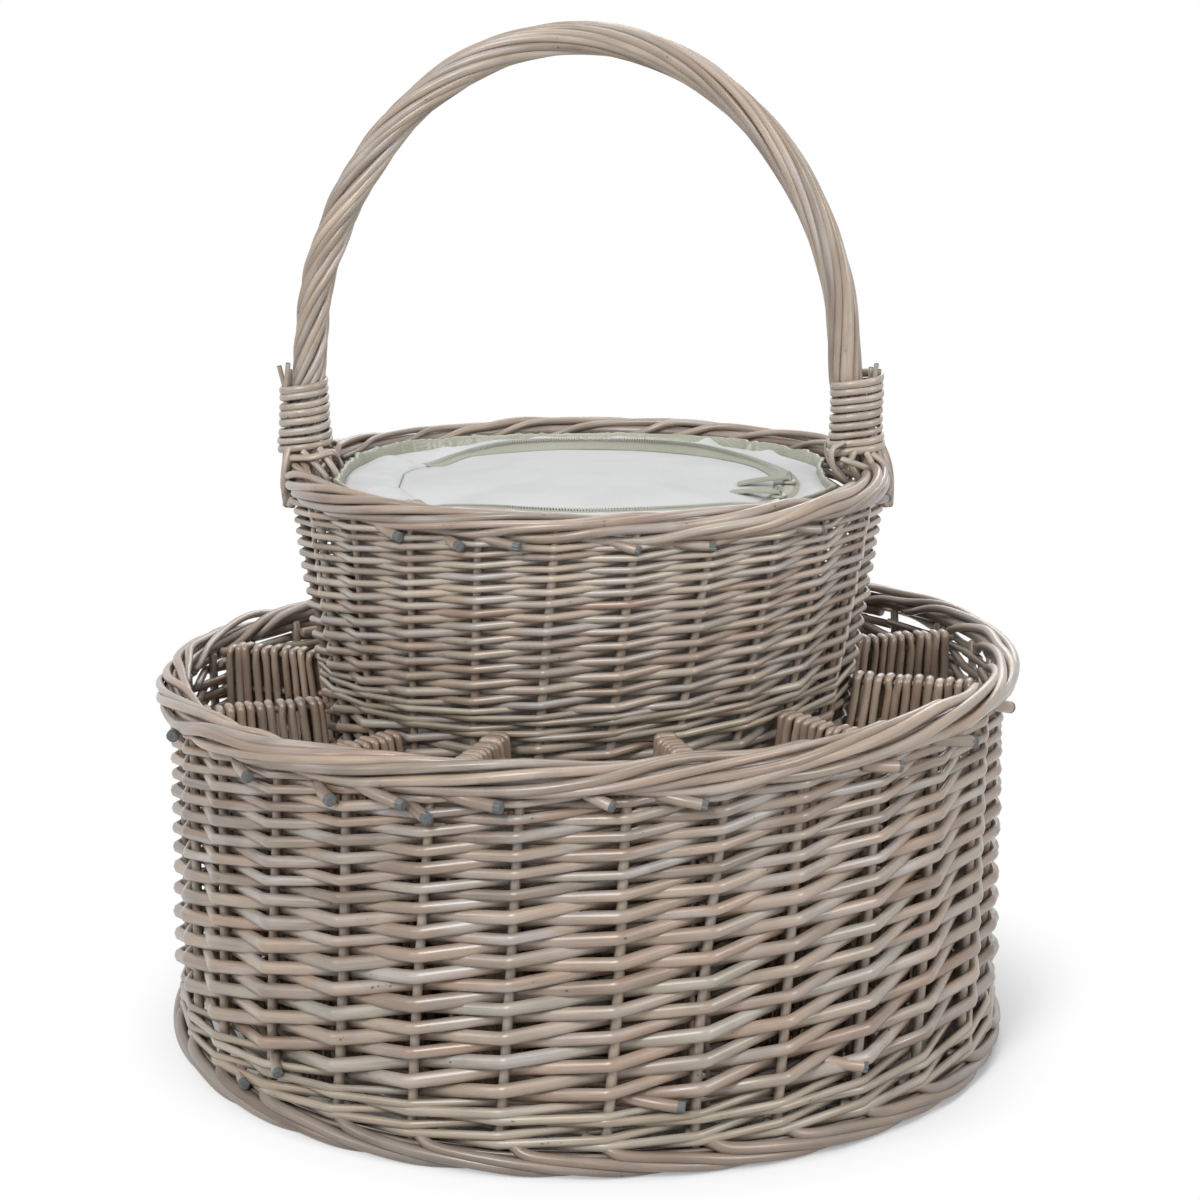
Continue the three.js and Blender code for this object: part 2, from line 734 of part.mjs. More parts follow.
// A slider, modelled at the origin with the zip running along Y, then carried out to its place.
function makeSlider() {
  const half = SLIDER_WIDTH / 2;
  const end = SLIDER_LENGTH / 2;
  const plan = new THREE.Shape();
  plan.moveTo(-half, -end + SLIDER_CHAMFER);
  plan.lineTo(-half + SLIDER_CHAMFER, -end);
  plan.lineTo(half - SLIDER_CHAMFER, -end);
  plan.lineTo(half, -end + SLIDER_CHAMFER);
  plan.lineTo(half - SLIDER_TAPER, end);
  plan.lineTo(-half + SLIDER_TAPER, end);
  const wing = new THREE.ExtrudeGeometry(plan, { depth: SLIDER_PLATE, bevelEnabled: false });
  wing.translate(0, 0, SLIDER_BOTTOM);
  const outline = new THREE.Shape();
  outline.absarc(0, 0, EAR_RADIUS, 0, Math.PI * 2);
  const hole = new THREE.Path();
  hole.absarc(0, 0, EAR_HOLE / 2, 0, Math.PI * 2, true);
  outline.holes.push(hole);
  const earSizes = { depth: SLIDER_EAR, bevelEnabled: false, curveSegments: 8 };
  const ear = new THREE.ExtrudeGeometry(outline, earSizes);
  ear.translate(0, 0, -SLIDER_EAR / 2);
  ear.rotateX(Math.PI / 2);
  ear.translate(0, 0, EAR_Z);
  return join(wing, ear);
}

// A pull tag: webbing on a bar that turns in the slider's ear, lying inwards over the lid.
function makeTag() {
  const half = TAG_WIDTH / 2;
  const plan = new THREE.Shape();
  plan.moveTo(TAG_BAR / 2, -half);
  plan.lineTo(TAG_BAR / 2, half);
  plan.lineTo(-TAG_LENGTH + TAG_CHAMFER, half);
  plan.lineTo(-TAG_LENGTH, half - TAG_CHAMFER);
  plan.lineTo(-TAG_LENGTH, -half + TAG_CHAMFER);
  plan.lineTo(-TAG_LENGTH + TAG_CHAMFER, -half);
  const opening = new THREE.Path();
  const side = SLIDER_EAR / 2 + TAG_PLAY;
  opening.moveTo(-TAG_BAR / 2, -side);
  opening.lineTo(-TAG_BAR / 2 - TAG_WINDOW, -side);
  opening.lineTo(-TAG_BAR / 2 - TAG_WINDOW, side);
  opening.lineTo(-TAG_BAR / 2, side);
  plan.holes.push(opening);
  const tag = new THREE.ExtrudeGeometry(plan, { depth: TAG_THICK, bevelEnabled: false });
  tag.translate(0, 0, -TAG_THICK / 2);
  tag.rotateY(-TAG_DROOP);
  return tag.translate(0, 0, EAR_Z);
}

const basket = new THREE.Group();

function add(name, geometry, finish, parent = basket) {
  const mesh = new THREE.Mesh(geometry, finish);
  mesh.name = name;
  parent.add(mesh);
  return mesh;
}

const bow = handlePath();

add("foot_border", makeFootBorder(), FINISH.rim);
add("base_sticks", baseSticks(BASE_STICK / 2, (BASE_RADIUS - BASE_STICK_SHORT) * 2), FINISH.stick);
add("base_weave", makeBaseWeave(), FINISH.wall);
add("base_wale", makeBaseWale(), FINISH.wale);
add("outer_weave", makeOuterWeave(), FINISH.wall);
add("lower_rim", makeLowerRim(), FINISH.rim);

const innerBands = [
  ["inner_weave_lower", INNER_BOTTOM, BAND_BOTTOM - GAP, ROD_ROWS_INNER_LOWER, FINISH.wall],
  ["inner_fine_band", BAND_BOTTOM, BAND_TOP, ROD_ROWS_BAND, FINISH.wale],
  ["inner_weave_upper", BAND_TOP + GAP, INNER_TOP, ROD_ROWS_INNER_UPPER, FINISH.wall],
];
innerBands.forEach(([name, bottom, top, rows, finish]) => {
  add(name, makeInnerBand(bottom, top, rows, bow), finish);
});

add("upper_rim", makeUpperRim(bow), FINISH.rim);

for (let i = 0; i < DIVIDERS; i++) {
  const angle = DIVIDER_PHASE + (i * Math.PI * 2) / DIVIDERS;
  add(`divider_${String(i + 1).padStart(2, "0")}`, makeDivider(angle), FINISH.divider);
}

add("handle_bow", bowAt(bow, BOW_STICK / 2), FINISH.stick);
add("handle_rods", makeHandleRods(bow), FINISH.handle);
add("handle_lashing_left", makeLashing(bow, false, LASHING_TURNS_LEFT), FINISH.lashing);
add("handle_lashing_right", makeLashing(bow, true, LASHING_TURNS_RIGHT), FINISH.lashing);

add("cooler_shell", bagCup(0, BAG_CLOTH), FINISH.cloth);
add("cooler_foam", bagCup(BAG_CLOTH + GAP, BAG_FOAM), FINISH.foam);
add("cooler_liner", bagCup(BAG_CLOTH + BAG_FOAM + GAP * 2, BAG_LINER), FINISH.liner);
add("cooler_top_panel", makeTopPanel(), FINISH.cloth);
add("cooler_binding", makeBinding(), FINISH.sage);
add("zip_tape_outer", zipTape(ZIP_RADIUS + GAP / 2, ZIP_RADIUS + ZIP_TAPE), FINISH.sage);
add("zip_tape_lid", zipTape(ZIP_RADIUS - GAP / 2, ZIP_RADIUS - ZIP_TAPE), FINISH.sage);
add("cooler_lid", makeLid(), FINISH.cloth);
add("lid_foam", lidLayer(0, LID_FOAM), FINISH.foam);
add("lid_lining", lidLayer(LID_FOAM + GAP, LID_LINING), FINISH.liner);

["back", "front"].forEach((name, i) => {
  const carrier = new THREE.Group();
  carrier.position.copy(around(ZIP_RADIUS, SLIDER_ANGLES[i], 0));
  carrier.rotation.z = SLIDER_ANGLES[i] - Math.PI / 2;
  basket.add(carrier);
  add(`zip_slider_${name}`, makeSlider(), FINISH.slider, carrier);
  add(`pull_tag_${name}`, makeTag(), FINISH.sage, carrier);
});

export default basket;
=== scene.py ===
"""The looks of a round wicker drinks basket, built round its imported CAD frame.

Metres, Z up, origin at the middle of the foot. The front is -Y and the handle's bow stands in the
XZ plane. Angles run from the front, anticlockwise from above, and those of the zip run from +X.
"""

import logging
import math
from collections.abc import Callable, Sequence
from dataclasses import dataclass
from enum import Enum

import bmesh
import bpy
import numpy as np
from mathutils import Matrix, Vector


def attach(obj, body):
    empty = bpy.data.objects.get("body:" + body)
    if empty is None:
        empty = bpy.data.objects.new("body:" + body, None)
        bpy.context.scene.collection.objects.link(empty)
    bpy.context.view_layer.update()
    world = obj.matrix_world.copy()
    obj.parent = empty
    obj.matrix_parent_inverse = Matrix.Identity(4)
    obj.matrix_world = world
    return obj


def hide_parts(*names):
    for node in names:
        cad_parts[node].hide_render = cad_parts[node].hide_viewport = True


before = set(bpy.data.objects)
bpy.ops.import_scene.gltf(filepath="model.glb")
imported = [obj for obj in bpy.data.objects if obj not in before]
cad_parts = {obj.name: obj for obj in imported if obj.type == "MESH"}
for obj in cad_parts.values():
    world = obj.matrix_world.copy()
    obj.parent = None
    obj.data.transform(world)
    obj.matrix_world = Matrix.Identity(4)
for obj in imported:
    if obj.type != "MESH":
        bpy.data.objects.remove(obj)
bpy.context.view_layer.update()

log = logging.getLogger("basket")

Array = np.ndarray
Colour = tuple[float, float, float]
Place = tuple[float, float, float]
Pair = tuple[float, float]
Material = bpy.types.Material
Node = bpy.types.Node
Piece = bpy.types.Object
Socket = bpy.types.NodeSocket
Tree = bpy.types.NodeTree

UP = np.array([0.0, 0.0, 1.0])

# How far the lower rim rises for each metre to the right, the height where the wall starts to rise
# with it, and the height over which it comes to rise as much.
LEAN = 0.027
LEAN_START = 0.045
LEAN_SPAN = 0.204

# How far from the axis the zip's teeth run.
ZIP_RADIUS = 0.1345


class End(Enum):
    """How a rod ends: rounded off and out of sight, or cut across so that its grain shows."""

    HIDDEN = "hidden"
    CUT = "cut"


# How far past an end the two closing rings of a rod sit, and their width as a share of the rod's.
END_RINGS = {End.HIDDEN: ((0.0006, 0.8), (0.001, 0.45)), End.CUT: ((0.0003, 0.93), (0.00032, 0.5))}


def around(radius: Array | float, angle: Array | float, height: Array | float) -> Array:
    """Points round the basket's axis.

    Args:
        radius: Distances from the axis.
        angle: Angles from the front, anticlockwise from above, in radians.
        height: Heights.

    Returns:
        The points, with x, y and z along the last axis.
    """
    radius, angle, height = np.broadcast_arrays(radius, angle, height)
    return np.stack([radius * np.sin(angle), -radius * np.cos(angle), height], axis=-1).astype(float)


def unit(vectors: Array) -> Array:
    """Vectors scaled to a length of one.

    Args:
        vectors: Vectors along the last axis.

    Returns:
        The same directions with unit length.
    """
    return vectors / np.maximum(np.linalg.norm(vectors, axis=-1, keepdims=True), 1e-12)


def creased(knots: Array, reach: float, steps: int) -> tuple[Array, Array]:
    """Straight runs between knots with a short bend at each, as a woven rod has.

    Args:
        knots: Rods by knots by three.
        reach: How far each side of a knot its bend begins.
        steps: Points in each bend.

    Returns:
        The points, and for each the knot number that it stands at.
    """
    longest = 0.48
    before = knots[:, :-2] - knots[:, 1:-1]
    after = knots[:, 2:] - knots[:, 1:-1]
    back = np.minimum(longest, reach / np.linalg.norm(before, axis=-1, keepdims=True))
    ahead = np.minimum(longest, reach / np.linalg.norm(after, axis=-1, keepdims=True))
    share = np.linspace(0, 1, steps)[None, None, :, None]
    start = (before * back)[:, :, None, :]
    end = (after * ahead)[:, :, None, :]
    bends = knots[:, 1:-1, None, :] + start * (1 - share) ** 2 + end * share**2
    place = np.arange(1, knots.shape[1] - 1)[None, :, None] + np.linspace(-0.2, 0.2, steps)[None, None, :]
    rods = knots.shape[0]
    points = np.concatenate([knots[:, :1], bends.reshape(rods, -1, 3), knots[:, -1:]], axis=1)
    flat = np.broadcast_to(place, (rods, knots.shape[1] - 2, steps)).reshape(rods, -1)
    ends = np.zeros((rods, 1)), np.full((rods, 1), knots.shape[1] - 1.0)
    return points, np.concatenate([ends[0], flat, ends[1]], axis=1)


def curved(knots: Array | Sequence, steps: int) -> Array:
    """A smooth line through its knots.

    Args:
        knots: Knots by any number of values.
        steps: Points in each stretch.

    Returns:
        The points of the line, its first and last knots among them.
    """
    knots = np.asarray(knots, float)
    padded = np.vstack([2 * knots[0] - knots[1], knots, 2 * knots[-1] - knots[-2]])
    p0, p1, p2, p3 = padded[:-3], padded[1:-2], padded[2:-1], padded[3:]
    t = np.linspace(0, 1, steps, endpoint=False)[None, :, None]
    p0, p1, p2, p3 = (p[:, None, :] for p in (p0, p1, p2, p3))
    line = p1 + 0.5 * t * (p2 - p0 + t * (2 * p0 - 5 * p1 + 4 * p2 - p3 + t * (3 * (p1 - p2) + p3 - p0)))
    return np.vstack([line.reshape(-1, knots.shape[1]), knots[-1:]])


def wave(angle: Array | float, rng: np.random.Generator, height: float, orders: int = 5) -> Array:
    """A slow uneven wave that closes on itself round the basket.

    Args:
        angle: Angles in radians.
        rng: The piece's own random numbers.
        height: About how high the wave is.
        orders: How many waves are added up.

    Returns:
        The wave at each angle.
    """
    total = np.zeros_like(np.asarray(angle, float))
    for order in range(1, orders + 1):
        total = total + rng.normal() * np.sin(order * angle + rng.uniform(0, math.tau)) / math.sqrt(orders)
    return total * height


def leaned(points: Array, lean: float) -> Array:
    """Points of the outer wall, which stands a little taller at the right than at the left.

    Args:
        points: The points.
        lean: How far the rim rises for each metre to the right.

    Returns:
        The points, moved by their share of the rim's rise.
    """
    share = np.clip((points[..., 2] - LEAN_START) / LEAN_SPAN, 0.0, 1.0)
    return points + (lean * points[..., 0] * share)[..., None] * UP


class Wickerwork:
    """Collects rods and turns them into one mesh. Each rod has its own tone, hue and grain."""

    def __init__(self, seed: int, sides: int = 8) -> None:
        """Starts an empty piece of wickerwork.

        Args:
            seed: Seed of the piece's own random numbers.
            sides: How many sides a rod's section has.
        """
        self.rng = np.random.default_rng(seed)
        self.sides = sides
        self.points: list[Array] = []
        self.grain: list[Array] = []
        self.rod: list[Array] = []
        self.quads: list[Array] = []
        self.fans: list[Array] = [np.zeros((0, 3), int)]
        self.quad_cut: list[Array] = []
        self.fan_cut: list[Array] = []
        self.count = 0

    def add(
        self,
        paths: Array,
        radii: Array | float,
        outs: Array,
        flat: float = 1.0,
        ends: tuple[End, End] = (End.HIDDEN, End.HIDDEN),
        closed: bool = False,
        tone: Pair = (0.5, 0.22),
        hue: Pair = (0.5, 0.28),
        stained: int = 1,
    ) -> None:
        """Adds rods that all have the same number of points.

        Args:
            paths: Rods by points by three, or one rod's points.
            radii: Half the rods' thickness at each point, or one value.
            outs: The direction at each point in which a flattened rod is thin.
            flat: The thickness in that direction as a share of the width.
            ends: How the rods start and end.
            closed: Whether the rods are rings.
            tone: Mean and spread of how pale the rods are, from 0 to 1.
            hue: Mean and spread of how warm the rods are, from 0 to 1.
            stained: How many spans at a cut end have the look of the cut.
        """
        paths = np.array(paths, float, ndmin=3)
        outs = np.broadcast_to(outs, paths.shape)
        radii = np.broadcast_to(radii, paths.shape[:2]).astype(float)
        tangent = unit(np.gradient(paths, axis=1))
        if closed:
            tangent = unit(np.roll(paths, -1, axis=1) - np.roll(paths, 1, axis=1))
        else:
            paths, radii, outs, tangent = self._with_ends(paths, radii, outs, tangent, ends)
        rods, count = paths.shape[:2]
        side = unit(outs - (outs * tangent).sum(-1, keepdims=True) * tangent)
        up = np.cross(tangent, side)
        turn = np.arange(self.sides) * math.tau / self.sides
        wide = radii[:, :, None, None] * np.sin(turn)[None, None, :, None]
        thin = radii[:, :, None, None] * flat * np.cos(turn)[None, None, :, None]
        rings = paths[:, :, None, :] + thin * side[:, :, None, :] + wide * up[:, :, None, :]
        step = np.linalg.norm(np.diff(paths, axis=1), axis=-1)
        along = np.concatenate([np.zeros((rods, 1)), np.cumsum(step, axis=1)], axis=1)
        along = along + self.rng.uniform(0, 6, (rods, 1))
        grain = np.stack(np.broadcast_arrays(thin[..., 0], wide[..., 0], along[:, :, None]), axis=-1)
        own = [
            self.rng.normal(*tone, rods),
            self.rng.normal(*hue, rods),
            self.rng.uniform(0, 1, rods),
        ]
        own = np.clip(np.stack(own, axis=-1), 0, 1)
        verts = rings.reshape(rods, -1, 3)
        grain = grain.reshape(rods, -1, 3)
        if not closed:
            middle = np.zeros((rods, 2, 3))
            middle[:, :, 2] = along[:, [0, -1]]
            verts = np.concatenate([verts, paths[:, [0, -1]]], axis=1)
            grain = np.concatenate([grain, middle], axis=1)
        size = verts.shape[1]
        first = self.count + np.arange(rods)[:, None, None] * size
        self._span(first, count, ends, closed, stained)
        if not closed:
            self._cap(first, count, ends)
        self.points.append(verts.reshape(-1, 3))
        self.grain.append(grain.reshape(-1, 3))
        self.rod.append(np.repeat(own, size, axis=0))
        self.count += rods * size

    def _span(self, first: Array, count: int, ends: tuple[End, End], closed: bool, stained: int) -> None:
        """Adds the quads between the rings of some rods.

        Args:
            first: The number of each rod's first vertex, rods by one by one.
            count: How many rings each rod has.
            ends: How the rods start and end.
            closed: Whether each rod's last ring meets its first one.
            stained: How many spans at a cut end have the look of the cut.
        """
        spans = np.arange(count if closed else count - 1)[:, None]
        ring = spans * self.sides
        after = (spans + 1) % count * self.sides
        j = np.arange(self.sides)[None, :]
        k = (j + 1) % self.sides
        quads = np.stack([ring + j, ring + k, after + k, after + j], axis=-1).reshape(-1, 4)
        cut = np.zeros((len(spans), self.sides), bool)
        if not closed:
            cut[:stained] = ends[0] is End.CUT
            cut[-stained:] = ends[1] is End.CUT
        self.quads.append((quads + first).reshape(-1, 4))
        self.quad_cut.append(np.tile(cut.reshape(-1), len(first)))

    def _cap(self, first: Array, count: int, ends: tuple[End, End]) -> None:
        """Closes both ends of some rods with a fan of triangles round their middles.

        Args:
            first: The number of each rod's first vertex, rods by one by one.
            count: How many rings each rod has.
            ends: How the rods start and end.
        """
        j = np.arange(self.sides)
        k = (j + 1) % self.sides
        last = (count - 1) * self.sides
        middle = np.full(self.sides, count * self.sides)
        fans = np.concatenate([np.stack([middle, k, j], -1), np.stack([middle + 1, last + j, last + k], -1)])
        cut = np.repeat([end is End.CUT for end in ends], self.sides)
        self.fans.append((fans + first).reshape(-1, 3))
        self.fan_cut.append(np.tile(cut, len(first)))

    @staticmethod
    def _with_ends(
        paths: Array, radii: Array, outs: Array, tangent: Array, ends: tuple[End, End]
    ) -> tuple[Array, Array, Array, Array]:
        """Adds the rings that close both ends of every rod.

        Args:
            paths: The rods' points.
            radii: Half their thickness.
            outs: Their flat directions.
            tangent: Their directions.
            ends: How they start and end.

        Returns:
            All four with two more rings at each end.
        """
        grown = [[paths], [radii], [outs], [tangent]]
        for at, sign, end in ((0, -1, ends[0]), (-1, 1, ends[1])):
            for past, width in END_RINGS[end]:
                ring = (
                    paths[:, [at]] + sign * past * tangent[:, [at]],
                    radii[:, [at]] * width,
                    outs[:, [at]],
                    tangent[:, [at]],
                )
                for rows, row in zip(grown, ring):
                    rows.insert(0 if at == 0 else len(rows), row)
        return tuple(np.concatenate(rows, axis=1) for rows in grown)

    def build(self, name: str, *finishes: Material) -> Piece:
        """Makes the mesh object.

        Args:
            name: The piece's name.
            finishes: The rods' material, and one for the cut ends if there are any.

        Returns:
            The new object.
        """
        points = np.concatenate(self.points)
        quads = np.concatenate(self.quads)
        fans = np.concatenate(self.fans)
        mesh = bpy.data.meshes.new(name)
        mesh.vertices.add(len(points))
        mesh.vertices.foreach_set("co", points.astype(np.float32).ravel())
        corners = np.concatenate([quads.ravel(), fans.ravel()]).astype(np.int32)
        mesh.loops.add(len(corners))
        mesh.loops.foreach_set("vertex_index", corners)
        sizes = np.concatenate([np.full(len(quads), 4), np.full(len(fans), 3)])
        mesh.polygons.add(len(sizes))
        starts = np.concatenate([[0], np.cumsum(sizes)[:-1]]).astype(np.int32)
        mesh.polygons.foreach_set("loop_start", starts)
        mesh.polygons.foreach_set("use_smooth", np.ones(len(sizes), bool))
        for finish in finishes:
            mesh.materials.append(finish)
        if len(finishes) > 1:
            cut = np.concatenate([*self.quad_cut, *self.fan_cut]).astype(np.int32)
            mesh.polygons.foreach_set("material_index", cut)
        mesh.update(calc_edges=True)
        mesh.validate()
        for label, rows in (("grain", self.grain), ("rod", self.rod)):
            values = mesh.attributes.new(label, "FLOAT_VECTOR", "POINT")
            values.data.foreach_set("vector", np.concatenate(rows).astype(np.float32).ravel())
        piece = bpy.data.objects.new(name, mesh)
        bpy.context.scene.collection.objects.link(piece)
        return piece


def settle(piece: Piece, body: str, slot: str, *nodes: str) -> None:
    """Gives a finished piece its body and hides the CAD nodes that it stands for.

    Args:
        piece: The finished object.
        body: The body that it rides on.
        slot: The record's material slot; not used.
        nodes: The CAD nodes that it replaces.
    """
    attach(piece, body)
    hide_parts(*nodes)
    log.info("%s: %d faces", piece.name, len(piece.data.polygons))


# Finishes


class Graph:
    """A short way to place and join the nodes of one tree."""

    def __init__(self, tree: Tree) -> None:
        """Keeps the tree that nodes are placed in.

        Args:
            tree: The node tree.
        """
        self.tree = tree

    def feed(self, node: Node, inputs: dict) -> None:
        """Gives values and sockets to a node's inputs.

        Args:
            node: The node.
            inputs: Values or sockets, by the input's name or number.
        """
        for key, value in inputs.items():
            if isinstance(value, Socket):
                self.tree.links.new(value, node.inputs[key])
            else:
                node.inputs[key].default_value = value

    def add(self, kind: str, inputs: dict | None = None, **settings: object) -> Node:
        """Places a node.

        Args:
            kind: The node's type, without its ShaderNode prefix.
            inputs: Values or sockets for its inputs, by name or number.
            settings: The node's own settings.

        Returns:
            The node.
        """
        node = self.tree.nodes.new(kind if kind.startswith("Node") else "ShaderNode" + kind)
        for key, value in settings.items():
            setattr(node, key, value)
        self.feed(node, inputs or {})
        return node

    def math(self, operation: str, *values: object, clamp: bool = False) -> Socket:
        """Places a Math node.

        Args:
            operation: Its operation.
            values: Numbers or sockets.
            clamp: Whether the result stays from 0 to 1.

        Returns:
            Its output.
        """
        inputs = dict(enumerate(values))
        return self.add("Math", inputs, operation=operation, use_clamp=clamp).outputs[0]

    def ramp(self, value: Socket, low: float, high: float, to: Pair = (0, 1)) -> Socket:
        """Maps a range smoothly.

        Args:
            value: The value.
            low: Where the range starts.
            high: Where it ends.
            to: What its ends map to.

        Returns:
            The mapped value.
        """
        inputs = {"Value": value, "From Min": low, "From Max": high, "To Min": to[0], "To Max": to[1]}
        return self.add("MapRange", inputs, interpolation_type="SMOOTHSTEP").outputs["Result"]

    def blend(
        self, share: Socket | float, first: Socket | Colour, second: Socket | Colour, how: str = "MIX"
    ) -> Socket:
        """Mixes two colours.

        Args:
            share: How much of the second one.
            first: A colour or socket.
            second: A colour or socket.
            how: The blend type.

        Returns:
            The mixed colour.
        """
        first, second = (value if isinstance(value, Socket) else (*value, 1) for value in (first, second))
        inputs = {0: share, 6: first, 7: second}
        return self.add("Mix", inputs, data_type="RGBA", blend_type=how).outputs[2]

    def noise(self, vector: Socket, scale: float, detail: float = 2.0, rough: float = 0.5) -> Socket:
        """Places a Noise texture.

        Args:
            vector: Where it is read.
            scale: Its scale.
            detail: Its detail.
            rough: Its roughness.

        Returns:
            Its factor.
        """
        inputs = {"Vector": vector, "Scale": scale, "Detail": detail, "Roughness": rough}
        return self.add("TexNoise", inputs).outputs[0]

    def stretched(self, vector: Socket, across: float, along: float) -> Socket:
        """A vector scaled across and along a rod.

        Args:
            vector: The grain vector.
            across: The scale across.
            along: The scale along.

        Returns:
            The scaled vector.
        """
        inputs = {0: vector, 1: (across, across, along)}
        return self.add("VectorMath", inputs, operation="MULTIPLY").outputs[0]


def new_group(name: str, inputs: dict[str, object]) -> tuple[Tree, Graph]:
    """Starts a shader node group that gives out a colour, a roughness and a height.

    Args:
        name: The group's name.
        inputs: Input names with their default values, which are None for a vector.

    Returns:
        The tree, and a graph for placing its nodes.
    """
    kinds = {float: "NodeSocketFloat", tuple: "NodeSocketColor", type(None): "NodeSocketVector"}
    tree = bpy.data.node_groups.new(name, "ShaderNodeTree")
    for label, value in inputs.items():
        socket = tree.interface.new_socket(label, in_out="INPUT", socket_type=kinds[type(value)])
        if isinstance(value, float):
            socket.default_value = value
        elif isinstance(value, tuple):
            socket.default_value = (*value, 1)
    for label, kind in (("Color", "Color"), ("Roughness", "Float"), ("Height", "Float")):
        tree.interface.new_socket(label, in_out="OUTPUT", socket_type="NodeSocket" + kind)
    return tree, Graph(tree)


def willow_group() -> Tree:
    """The group that colours willow: rods that differ, long streaks, pale patches of wash that are partly
    painted sheen, and dark specks.

    Returns:
        The node group.
    """
    inputs = {
        "Rod": None,
        "Grain": None,
        "Pale": (0.6, 0.5, 0.4),
        "Deep": (0.3, 0.2, 0.1),
        "Warm": (0.5, 0.3, 0.2),
        "Wash sheen colour": (0.5, 0.5, 0.5),
        "Warmth": 0.5,
        "Wash and sheen": 0.5,
        "Streaks": 0.5,
        "Specks": 0.5,
    }
    tree, graph = new_group("willow", inputs)
    given = graph.add("NodeGroupInput").outputs
    own = graph.add("SeparateXYZ", {0: given["Rod"]}).outputs
    grain = graph.add("SeparateXYZ", {0: given["Grain"]}).outputs
    base = graph.blend(own[0], given["Deep"], given["Pale"])
    base = graph.blend(graph.math("MULTIPLY", own[1], given["Warmth"]), base, given["Warm"])

    # Pale patches of wash, which are partly painted sheen standing in for the rods' pale highlights; more of
    # them on some rods than on others
    wash_sheen_patches = graph.noise(graph.stretched(given["Grain"], 90.0, 14.0), 1.0, 3.0, 0.55)
    own_wash_and_sheen = graph.math("MULTIPLY", graph.math("MULTIPLY_ADD", own[2], 1.2, 0.4), given["Wash and sheen"])
    wash_and_sheen = graph.math("MULTIPLY", graph.ramp(wash_sheen_patches, 0.40, 0.66), own_wash_and_sheen, clamp=True)
    base = graph.blend(wash_and_sheen, base, given["Wash sheen colour"])

    # Fine streaks along the grain, and slower changes from pale to dark
    slow = graph.noise(graph.stretched(given["Grain"], 60.0, 22.0), 1.0, 2.0, 0.5)
    fine = graph.noise(graph.stretched(given["Grain"], 1500.0, 30.0), 1.0, 3.0, 0.65)
    streak = graph.ramp(fine, 0.3, 0.72, (-1.0, 1.0))
    dark = graph.math("MULTIPLY_ADD", graph.math("MULTIPLY", streak, given["Streaks"]), 0.2, 1.0)
    dark = graph.math("MULTIPLY", dark, graph.ramp(slow, 0.32, 0.68, (0.86, 1.08)))

    # Specks of many sizes in spotted stretches, which are a little darker all over
    turn = graph.math("MULTIPLY", graph.math("ARCTAN2", grain[1], grain[0]), 0.32)
    place = {0: graph.math("MULTIPLY", turn, 2.4), 1: graph.math("MULTIPLY", grain[2], 160.0)}
    spots = graph.add("CombineXYZ", place).outputs[0]
    cells = graph.add("TexVoronoi", {"Vector": spots, "Scale": 1.0}, voronoi_dimensions="2D").outputs
    chance = graph.add("SeparateXYZ", {0: cells["Color"]}).outputs
    spotted = graph.noise(graph.stretched(given["Grain"], 40.0, 30.0), 1.0, 1.0, 0.5)
    spotted = graph.ramp(spotted, 0.60, 0.64)
    chosen = graph.math("MULTIPLY", graph.ramp(chance[0], 0.66, 0.7), spotted)
    size = graph.math("MULTIPLY_ADD", chance[1], 0.12, 0.05)
    halo = graph.math("MULTIPLY", graph.math("MULTIPLY", spotted, 0.12), given["Specks"])
    dark = graph.math("MULTIPLY", dark, graph.math("SUBTRACT", 1.0, halo))
    shade = graph.add("CombineXYZ", {0: dark, 1: dark, 2: dark}).outputs[0]
    base = graph.blend(1.0, base, shade, "MULTIPLY")
    ragged = graph.math("MULTIPLY_ADD", fine, 0.06, graph.math("SUBTRACT", cells["Distance"], 0.03))
    speck = graph.math("MULTIPLY", graph.math("LESS_THAN", ragged, size), chosen)
    speck = graph.math("MULTIPLY", speck, given["Specks"])
    base = graph.blend(speck, base, (0.05, 0.038, 0.03))

    rough = graph.math("MULTIPLY_ADD", fine, 0.1, graph.math("MULTIPLY_ADD", wash_and_sheen, 0.1, 0.28))
    height = graph.math("SUBTRACT", fine, graph.math("MULTIPLY", speck, 0.9))
    graph.add("NodeGroupOutput", {"Color": base, "Roughness": rough, "Height": height})
    return tree


def cloth_group() -> Tree:
    """The group that gives cloth its woven threads and a mottled tone.

    Returns:
        The node group.
    """
    inputs = {
        "Vector": None,
        "Color": (0.5, 0.5, 0.5),
        "Shade": (0.4, 0.4, 0.4),
        "Threads": 1.0,
        "Mottle": 1.0,
    }
    tree, graph = new_group("woven cloth", inputs)
    given = graph.add("NodeGroupInput").outputs
    place = graph.add("SeparateXYZ", {0: given["Vector"]}).outputs
    pace = graph.math("MULTIPLY", given["Threads"], math.tau)
    warp = graph.math("SINE", graph.math("MULTIPLY", place[0], pace))
    weft = graph.math("SINE", graph.math("MULTIPLY", place[1], pace))
    weave = graph.math("MULTIPLY_ADD", graph.math("MULTIPLY", warp, weft), 0.5, 0.5)
    fuzz = graph.noise(given["Vector"], 900.0, 2.0, 0.6)
    cloud = graph.noise(given["Vector"], 26.0, 3.0, 0.5)
    tone = graph.math("MULTIPLY_ADD", weave, 0.3, graph.math("MULTIPLY", fuzz, 0.7))
    tone = graph.math("MULTIPLY", graph.ramp(tone, 0.25, 0.8), given["Mottle"])
    colour = graph.blend(tone, given["Color"], given["Shade"])
    clouded = graph.math("MULTIPLY", graph.ramp(cloud, 0.4, 0.7), 0.35)
    colour = graph.blend(clouded, colour, given["Shade"])
    height = graph.math("MULTIPLY_ADD", weave, 0.7, graph.math("MULTIPLY", fuzz, 0.5))
    rough = graph.math("MULTIPLY_ADD", fuzz, 0.1, 0.8)
    graph.add("NodeGroupOutput", {"Color": colour, "Roughness": rough, "Height": height})
    return tree


